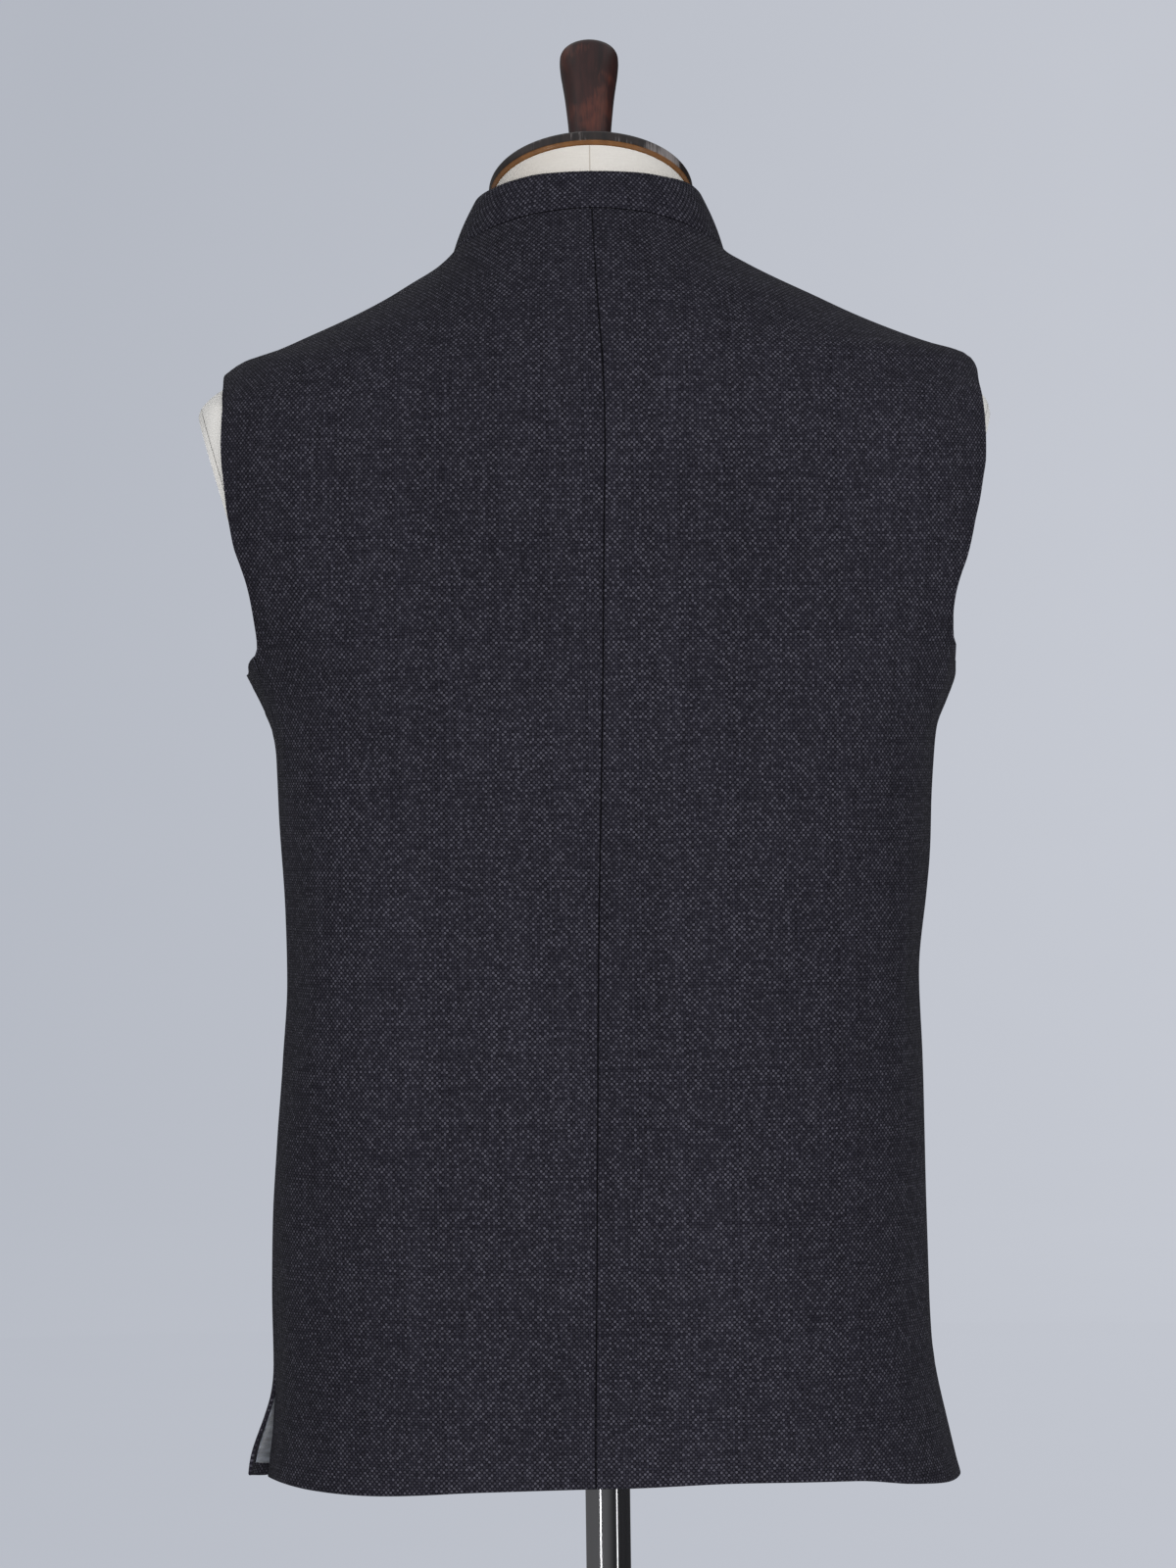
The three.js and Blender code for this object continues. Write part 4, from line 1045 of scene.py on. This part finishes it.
# A turned piece: a disc whose rim is drawn up ring by ring through its radii and heights
def turnedPiece(name, profile, segments, place, tilt=0.0):
    clearSelection()
    bpy.ops.mesh.primitive_circle_add(vertices=segments, radius=profile[0][0], fill_type="NGON")
    piece = bpy.context.object
    piece.name = name
    piece.data.name = name
    bpy.ops.object.mode_set(mode="EDIT")
    bpy.ops.mesh.select_all(action="SELECT")
    bpy.ops.transform.translate(value=(0, 0, profile[0][1]))
    for (radius, height), (nextRadius, nextHeight) in zip(profile, profile[1:]):
        share = nextRadius / radius
        bpy.ops.mesh.extrude_region_move(TRANSFORM_OT_translate={"value": (0, 0, nextHeight - height)})
        bpy.ops.transform.resize(value=(share, share, 1), center_override=(0, 0, nextHeight))
    bpy.ops.mesh.select_all(action="SELECT")
    bpy.ops.mesh.normals_make_consistent(inside=False)
    bpy.ops.object.mode_set(mode="OBJECT")
    piece.data.shade_smooth()
    selectOnly(piece)
    bpy.ops.object.shade_smooth_by_angle(angle=math.radians(35))
    piece.matrix_world = Matrix.Translation(place) @ Matrix.Rotation(tilt, 4, "X")
    settle(piece)
    return piece


def smoothProfile(points, perSpan):
    spans = np.cumsum([0] + [math.dist(a, b) for a, b in zip(points, points[1:])])
    radiusAt = curveThrough(spans, [p[0] for p in points])
    heightAt = curveThrough(spans, [p[1] for p in points])
    fine = [spans[0]]
    for low, high in zip(spans, spans[1:]):
        fine += steps(low, high, perSpan)
    return [(float(radiusAt(at)), float(heightAt(at))) for at in fine]


capProfile = [
    (0.0555, 0.0003), (0.0563, 0.0006), (0.0570, 0.0013), (0.0576, 0.0019), (0.0580, 0.0033),
    (0.0580, 0.0071), (0.0572, 0.0085), (0.0556, 0.0094), (0.0520, 0.0097), (0.0300, 0.0097),
    (0.0110, 0.0098),
]
handleProfile = [
    (0.0090, 0.0), (0.0101, 0.0006), (0.0105, 0.0016), (0.0106, 0.006), (0.0109, 0.014), (0.0115, 0.026),
    (0.0123, 0.040), (0.0132, 0.051), (0.0143, 0.062), (0.0156, 0.072), (0.0165, 0.079), (0.0169, 0.0852),
    (0.0168, 0.0884), (0.0161, 0.0909), (0.0144, 0.0925), (0.0104, 0.0934), (0.0050, 0.0936),
]
handleFoot = 0.0100


def makeNeck():
    cap = turnedPiece("neck_cap_wood", smoothProfile(capProfile, 3), 128, neckPlace, neckTilt)
    cap.data.materials.append(capWood)
    dress(cap, "neck_cap")
    profile = [(radius, height + handleFoot) for radius, height in smoothProfile(handleProfile, 4)]
    handle = turnedPiece("neck_handle_wood", profile, 64, neckPlace, neckTilt)
    handle.data.materials.append(handleWood)
    dress(handle, "neck_handle")


makeNeck()
print("stage: neck cap and handle made")

# The form's body, its cut ends and their plates, a little inside its solid so that the cloth clears it
formShape = {"turns": 144, "perRing": 4, "inset": 0.0004, "bevel": 0.0009}


def formMesh(name):
    knots = list(range(len(formRings)))
    columns = [curveThrough(knots, column) for column in zip(*formRings)]
    at = np.array([0.0] + steps(0, knots[-1], formShape["perRing"] * knots[-1]))
    turn = np.radians(np.arange(formShape["turns"]) * 360 / formShape["turns"])[None, :]
    back, side, front, half, yBack, yMid, yFront, power = (column(at)[:, None] for column in columns)
    inset = formShape["inset"] * (1 - blend(at, knots[-1] - 1.5, knots[-1]))[:, None]
    x, y = section(np.degrees(turn), half - inset, yBack - inset, yMid, yFront + inset, power)
    c = np.cos(turn)
    up = side + (back - front) / 2 * c + ((back + front) / 2 - side) * c * c
    points = np.stack([x, y, hemHeight + up], axis=-1)
    rings, turns = points.shape[:2]
    faces = []
    for r in range(rings - 1):
        for i in range(turns):
            n = (i + 1) % turns
            faces.append((r * turns + n, r * turns + i, (r + 1) * turns + i, (r + 1) * turns + n))
    faces.append(tuple(range(turns)))
    faces.append(tuple((rings - 1) * turns + i for i in reversed(range(turns))))
    mesh = bpy.data.meshes.new(name)
    mesh.from_pydata(points.reshape(-1, 3).tolist(), [], faces)
    made = bpy.data.objects.new(name, mesh)
    bpy.context.scene.collection.objects.link(made)
    selectOnly(made)
    bpy.ops.object.mode_set(mode="EDIT")
    bpy.ops.mesh.select_all(action="SELECT")
    bpy.ops.mesh.normals_make_consistent(inside=False)
    bpy.ops.object.mode_set(mode="OBJECT")
    return made


# A block whose inner face lies in the plane that closes an arm stub
def armBlock(side, moved, depth, longer=0.0):
    above, below = armPlane["above"] + longer, armPlane["below"] + longer
    clearSelection()
    bpy.ops.mesh.primitive_cube_add(size=1)
    block = bpy.context.object
    size = Matrix.Diagonal((depth, 2 * armPlane["left"], above + below, 1))
    middle = Matrix.Translation((depth / 2 + moved, 0, (above - below) / 2))
    place = Matrix.Translation((armPlane[sideName(side)], 0, hemHeight + armPlane["up"]))
    turned = Matrix.Rotation(armPlane["tilt"], 4, "Y")
    flip = Matrix.Rotation(math.pi if side < 0 else 0, 4, "Z")
    block.matrix_world = flip @ place @ turned @ middle @ size
    settle(block)
    return block


def cutWith(piece, cutter, operation):
    cut = piece.modifiers.new("cut", "BOOLEAN")
    cut.operation = operation
    cut.solver = "EXACT"
    cut.object = cutter
    applyAll(piece)
    bpy.data.objects.remove(cutter, do_unlink=True)


def finishCut(piece, width):
    edge = piece.modifiers.new("edge", "BEVEL")
    edge.width = width
    edge.segments = 3
    edge.limit_method = "ANGLE"
    edge.angle_limit = math.radians(28)
    applyAll(piece)
    selectOnly(piece)
    bpy.ops.object.shade_smooth_by_angle(angle=math.radians(40))


def makeForm():
    body = formMesh("form_cover")
    for side in (1, -1):
        block = armBlock(side, -armPlane["plate"] - seamGap, armPlane["left"], seamGap)
        cutWith(body, block, "DIFFERENCE")
    clearSelection()
    bpy.ops.mesh.primitive_cylinder_add(
        vertices=64, radius=poleRadius + seamGap, depth=2 * poleSocket,
        location=(0, 0, hemHeight + formBottom))
    cutWith(body, bpy.context.object, "DIFFERENCE")
    finishCut(body, formShape["bevel"])
    body.data.materials.clear()
    body.data.materials.append(formLinen)
    dress(body, "form_body")
    for side in (1, -1):
        node = "arm_plate_" + sideName(side)
        plate = formMesh(node + "_cover")
        cutWith(plate, armBlock(side, -armPlane["plate"], armPlane["plate"]), "INTERSECT")
        finishCut(plate, formShape["bevel"])
        plate.data.materials.clear()
        plate.data.materials.append(plateLinen)
        dress(plate, node)


makeForm()
print("stage: form made")

# The steel stand
stand = {
    "poleEdge": 0.0006, "baseRadius": 0.190, "baseThickness": 0.008, "hubRadius": 0.021, "hubFoot": 0.005,
    "hubHeight": 0.034,
}


def makeStand():
    s = stand
    low = s["baseThickness"] + seamGap
    top = hemHeight + formBottom + poleSocket - seamGap
    profile = [(poleRadius - s["poleEdge"], low), (poleRadius, low + s["poleEdge"])]
    profile += [(poleRadius, at) for at in steps(low + s["poleEdge"], top - s["poleEdge"], 6)]
    profile += [(poleRadius - s["poleEdge"], top)]
    pole = turnedPiece("pole_tube", profile, 96, Vector((0, 0, 0)))
    pole.data.materials.append(poleSteel)
    dress(pole, "pole")
    radius, thick = s["baseRadius"], s["baseThickness"]
    profile = [
        (radius - 0.001, 0), (radius - 0.0003, 0.0003), (radius, 0.001), (radius, thick - 0.003),
        (radius - 0.0003, thick - 0.0018), (radius - 0.001, thick - 0.001),
        (radius - 0.0019, thick - 0.0003), (radius - 0.003, thick), (radius - 0.020, thick),
        (0.08, thick), (0.02, thick),
    ]
    base = turnedPiece("base_disc", profile, 160, Vector((0, 0, 0)))
    base.data.materials.append(baseSteel)
    dress(base, "base_plate")
    hubRadius, foot, high = s["hubRadius"], s["hubFoot"], low + s["hubHeight"]
    inner = poleRadius + seamGap
    profile = [
        (inner, low), (hubRadius + foot, low), (hubRadius + foot, low + 0.0036),
        (hubRadius + foot - 0.0012, low + 0.0045), (hubRadius + 0.0016, low + 0.0056),
        (hubRadius, low + 0.0072), (hubRadius, high - 0.003), (hubRadius - 0.0006, high - 0.0012),
        (hubRadius - 0.002, high), (inner, high),
    ]
    hub = turnedPiece("hub_collar", profile, 96, Vector((0, 0, 0)))
    openHub(hub, inner)
    hub.data.materials.append(baseSteel)
    dress(hub, "pole_hub")


# Removes the hub's flat ends and joins its two rims, which leaves the pole's bore
def openHub(hub, inner):
    work = bmesh.new()
    work.from_mesh(hub.data)
    ends = [f for f in work.faces if len(f.verts) > 4]
    bmesh.ops.delete(work, geom=ends, context="FACES_ONLY")
    rims = [e for e in work.edges if e.is_boundary]
    bmesh.ops.bridge_loops(work, edges=rims)
    bmesh.ops.recalc_face_normals(work, faces=work.faces)
    work.to_mesh(hub.data)
    work.free()


makeStand()
print("stage: stand made")

# Flat four-hole buttons, sewn on with two bars of thread, and a worked buttonhole beside each
buttonShape = {
    "radius": 0.0075, "thickness": 0.0026, "rim": 0.0013, "dish": 0.0006, "edge": 0.00045,
    "hole": 0.0009, "holeOff": 0.002, "strands": 3, "strand": 0.00022,
}
buttonHeights = [0.628, 0.536, 0.444, 0.352, 0.260]
buttonhole = {"from": -0.003, "to": 0.0155, "half": 0.0013, "thread": 0.0004}


def buttonDisc(name):
    b = buttonShape
    clearSelection()
    bpy.ops.mesh.primitive_cylinder_add(vertices=64, radius=b["radius"], depth=b["thickness"])
    disc = bpy.context.object
    disc.name = name
    bpy.ops.object.mode_set(mode="EDIT")
    bpy.ops.mesh.select_all(action="DESELECT")
    work = bmesh.from_edit_mesh(disc.data)
    for face in work.faces:
        face.select_set(face.normal.z > 0.9)
    bmesh.update_edit_mesh(disc.data)
    bpy.ops.mesh.inset(thickness=b["rim"], depth=0)
    bpy.ops.mesh.inset(thickness=b["dish"], depth=-b["dish"])
    bpy.ops.object.mode_set(mode="OBJECT")
    edge = disc.modifiers.new("edge", "BEVEL")
    edge.width = b["edge"]
    edge.segments = 3
    edge.limit_method = "ANGLE"
    applyAll(disc)
    for turn in (45, 135, 225, 315):
        x, y = b["holeOff"] * math.cos(math.radians(turn)), b["holeOff"] * math.sin(math.radians(turn))
        clearSelection()
        bpy.ops.mesh.primitive_cylinder_add(vertices=24, radius=b["hole"], depth=0.01, location=(x, y, 0))
        cutWith(disc, bpy.context.object, "DIFFERENCE")
    selectOnly(disc)
    bpy.ops.object.shade_smooth_by_angle(angle=math.radians(30))
    disc.data.materials.clear()
    disc.data.materials.append(horn)
    return disc


# Threads of a button: arcs from hole to hole over the dish
def buttonThreads(name):
    b = buttonShape
    data = bpy.data.curves.new(name, "CURVE")
    data.dimensions = "3D"
    data.bevel_depth = b["strand"]
    data.bevel_resolution = 2
    off = b["holeOff"] * math.cos(math.radians(45))
    face = b["thickness"] / 2 - b["dish"]
    for y in (-off, off):
        for k in range(b["strands"]):
            shift = (k - (b["strands"] - 1) / 2) * b["strand"] * 1.7
            spline = data.splines.new("POLY")
            arc = np.linspace(0, math.pi, 13)
            spline.points.add(len(arc) - 1)
            for point, at in zip(spline.points, arc):
                rise = math.sin(at) ** 0.6
                point.co = (-off * math.cos(at) * 1.15, y + shift, face - 0.0012 + 0.0017 * rise, 1)
    made = bpy.data.objects.new(name, data)
    bpy.context.scene.collection.objects.link(made)
    selectOnly(made)
    bpy.ops.object.convert(target="MESH")
    made = bpy.context.object
    made.data.shade_smooth()
    made.data.materials.append(thread)
    return made


# A stretched ring of stitches, laid on the left front at its own height
def buttonholeRing(name, up):
    h = buttonhole
    clearSelection()
    bpy.ops.mesh.primitive_torus_add(
        major_segments=48, minor_segments=12, major_radius=h["half"], minor_radius=h["thread"])
    ring = bpy.context.object
    ring.name = name
    coords = np.empty(len(ring.data.vertices) * 3)
    ring.data.vertices.foreach_get("co", coords)
    coords = coords.reshape(-1, 3)
    length = h["to"] - h["from"] - 2 * h["half"]
    x = coords[:, 0] + np.sign(coords[:, 0]) * length / 2 + (h["from"] + h["to"]) / 2
    at = up + coords[:, 1]
    turn = 180 - np.degrees(x / coatAt["left"](at))
    points = frontPlace(1, turn, at, -coords[:, 2] * 0.7 - 0.00005)
    ring.data.vertices.foreach_set("co", points.ravel())
    ring.data.update()
    ring.data.shade_smooth()
    ring.data.materials.append(thread)
    return ring


def makeButtons():
    discs, bars = buttonDisc("button_model"), buttonThreads("thread_model")
    for i, up in enumerate(buttonHeights):
        seat = Vector(frontPlace(1, 180.0, up, 0.0))
        outward = Vector(coatNormal(1, 180.0, up))
        lift = seamGap + buttonShape["thickness"] / 2
        facing = outward.to_track_quat("Z", "X").to_matrix().to_4x4()
        place = Matrix.Translation(seat + outward * lift) @ facing
        for model, name in ((discs, f"button_{i + 1}_disc"), (bars, f"button_{i + 1}_thread")):
            copy = model.copy()
            copy.data = model.data.copy()
            copy.name = name
            copy.data.name = name
            bpy.context.scene.collection.objects.link(copy)
            copy.data.transform(place)
            if model is discs:
                dress(copy, f"button_{i + 1}")
            else:
                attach(copy, "root")
        ring = buttonholeRing(f"buttonhole_{i + 1}", up)
        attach(ring, "root")
    for model in (discs, bars):
        bpy.data.objects.remove(model, do_unlink=True)


makeButtons()
print("stage: buttons made")

# Studio: a pale floor that rises far away into a pale wall, and soft light from all round
studio = {
    "radius": 14.0, "cove": 5.0, "height": 16.0, "segments": 96,
    "left": linear(205, 210, 221), "right": linear(222, 226, 236), "glow": 0.75,
    "dark": linear(40, 40, 44),
}


def makeStudio():
    s = studio
    flat = s["radius"] - s["cove"]
    profile = [(flat * 0.1, 0), (flat * 0.5, 0), (flat, 0)]
    for at in steps(0, math.pi / 2, 16):
        profile.append((flat + s["cove"] * math.sin(at), s["cove"] * (1 - math.cos(at))))
    profile.append((s["radius"], s["height"]))
    bowl = turnedPiece("studio_floor", profile, s["segments"], Vector((0, 0, 0)))
    work = bmesh.new()
    work.from_mesh(bowl.data)
    lid = max(work.faces, key=lambda face: face.calc_center_median().z if len(face.verts) > 4 else -1)
    bmesh.ops.delete(work, geom=[lid], context="FACES_ONLY")
    bmesh.ops.reverse_faces(work, faces=work.faces)
    work.to_mesh(bowl.data)
    work.free()
    material, tree, shader = newMaterial("palePaper")
    where = placed(tree, "Object")
    parts = addNode(tree, "ShaderNodeSeparateXYZ", {0: where})
    # Painted light: the backdrop's colour is lighter towards -X than towards +X, as if lit more on that
    # side
    across = rangeOf(tree, parts.outputs[0], -1.6, 1.6, 1.0, 0.0)
    grain = noiseOf(tree, where, 3.0, 2.0)
    color = mixColor(tree, across, s["left"], s["right"])
    color = mixColor(tree, calc(tree, "MULTIPLY", grain, 0.04), color, linear(180, 186, 198))
    # Only the floor round the base takes light and shade
    away = addNode(tree, "ShaderNodeVectorMath", {0: where}, operation="LENGTH").outputs["Value"]
    unlit = rangeOf(tree, away, 0.5, 1.9, 0.7, 1.0, "SMOOTHSTEP")
    feed(tree, shader.inputs["Base Color"], mixColor(tree, unlit, color, (0, 0, 0, 1)))
    shader.inputs["Roughness"].default_value = 0.95
    shader.inputs["Specular IOR Level"].default_value = 0.1
    feed(tree, shader.inputs["Emission Color"], color)
    # Painted light: the backdrop glows about 3 per cent more around 1 m up than far above or below
    level = calc(tree, "ABSOLUTE", calc(tree, "SUBTRACT", parts.outputs[2], 1.0))
    glow = rangeOf(tree, level, 0.0, 2.4, 1.03 * s["glow"], s["glow"], "SMOOTHSTEP")
    feed(tree, shader.inputs["Emission Strength"], glow)
    bowl.data.materials.append(material)
    bowl.visible_diffuse = False
    bowl.visible_glossy = False
    bowl.visible_shadow = False


# A dark room round the studio, which only glossy surfaces see, and which glows faintly as a painted
# reflection
def makeDarkRoom():
    clearSelection()
    bpy.ops.mesh.primitive_cylinder_add(
        vertices=48, radius=7, depth=9, end_fill_type="NOTHING", location=(0, 0, 3))
    room = bpy.context.object
    room.name = "dark_room"
    bpy.ops.object.mode_set(mode="EDIT")
    bpy.ops.mesh.select_all(action="SELECT")
    bpy.ops.mesh.flip_normals()
    bpy.ops.object.mode_set(mode="OBJECT")
    settle(room)
    material, tree, shader = newMaterial("darkRoom")
    cloudy = noiseOf(tree, placed(tree, "Object"), 0.6, 2.0)
    feed(tree, shader.inputs["Base Color"], mixColor(tree, cloudy, linear(20, 20, 24), studio["dark"]))
    shader.inputs["Roughness"].default_value = 1
    where = addNode(tree, "ShaderNodeSeparateXYZ", {0: placed(tree, "Object")})
    # Painted reflection: the room glows faintly, more towards +X and overhead, so that glossy surfaces
    # reflect a little light from there
    side = rangeOf(tree, where.outputs[0], -4.5, 1.5, 0.014, 0.10, "SMOOTHSTEP")
    above = rangeOf(tree, where.outputs[2], 3.6, 6.5, 0.0, 0.35, "SMOOTHSTEP")
    shader.inputs["Emission Color"].default_value = (1, 1, 1, 1)
    feed(tree, shader.inputs["Emission Strength"], calc(tree, "ADD", side, above))
    room.data.materials.append(material)
    room.visible_camera = False
    room.visible_diffuse = False
    room.visible_shadow = False


def addSoftbox(name, place, target, width, height, power, color, isReflected):
    data = bpy.data.lights.new(name, "AREA")
    data.shape = "RECTANGLE"
    data.size = width
    data.size_y = height
    data.energy = power
    data.color = color
    box = bpy.data.objects.new(name, data)
    bpy.context.scene.collection.objects.link(box)
    box.location = place
    box.rotation_euler = (Vector(target) - Vector(place)).to_track_quat("-Z", "Y").to_euler()
    box.visible_camera = False
    box.visible_glossy = isReflected


def makeLight():
    world = bpy.data.worlds.new("studioWorld")
    bpy.context.scene.world = world
    world.use_nodes = True
    background = world.node_tree.nodes["Background"]
    background.inputs["Color"].default_value = (0.93, 0.96, 1.0, 1)
    background.inputs["Strength"].default_value = 0.38
    warm, white = (1.0, 0.99, 0.97), (1.0, 1.0, 1.0)
    addSoftbox("mainSoftbox", (-0.3, 4.6, 1.4), (0, 0, 1.05), 2.6, 2.0, 225, warm, False)
    addSoftbox("leftStrip", (2.2, 2.72, 0.2), (0, 0, 0.6), 0.22, 1.4, 6, white, True)
    addSoftbox("rightStrip", (-2.56, 2.39, 0.2), (0, 0, 0.6), 0.22, 1.4, 3, white, True)
    addSoftbox("frontSoftbox", (0.8, -3.8, 2.0), (0, 0, 1.0), 2.2, 1.8, 70, warm, False)


makeStudio()
makeDarkRoom()
makeLight()
print("stage: studio made")
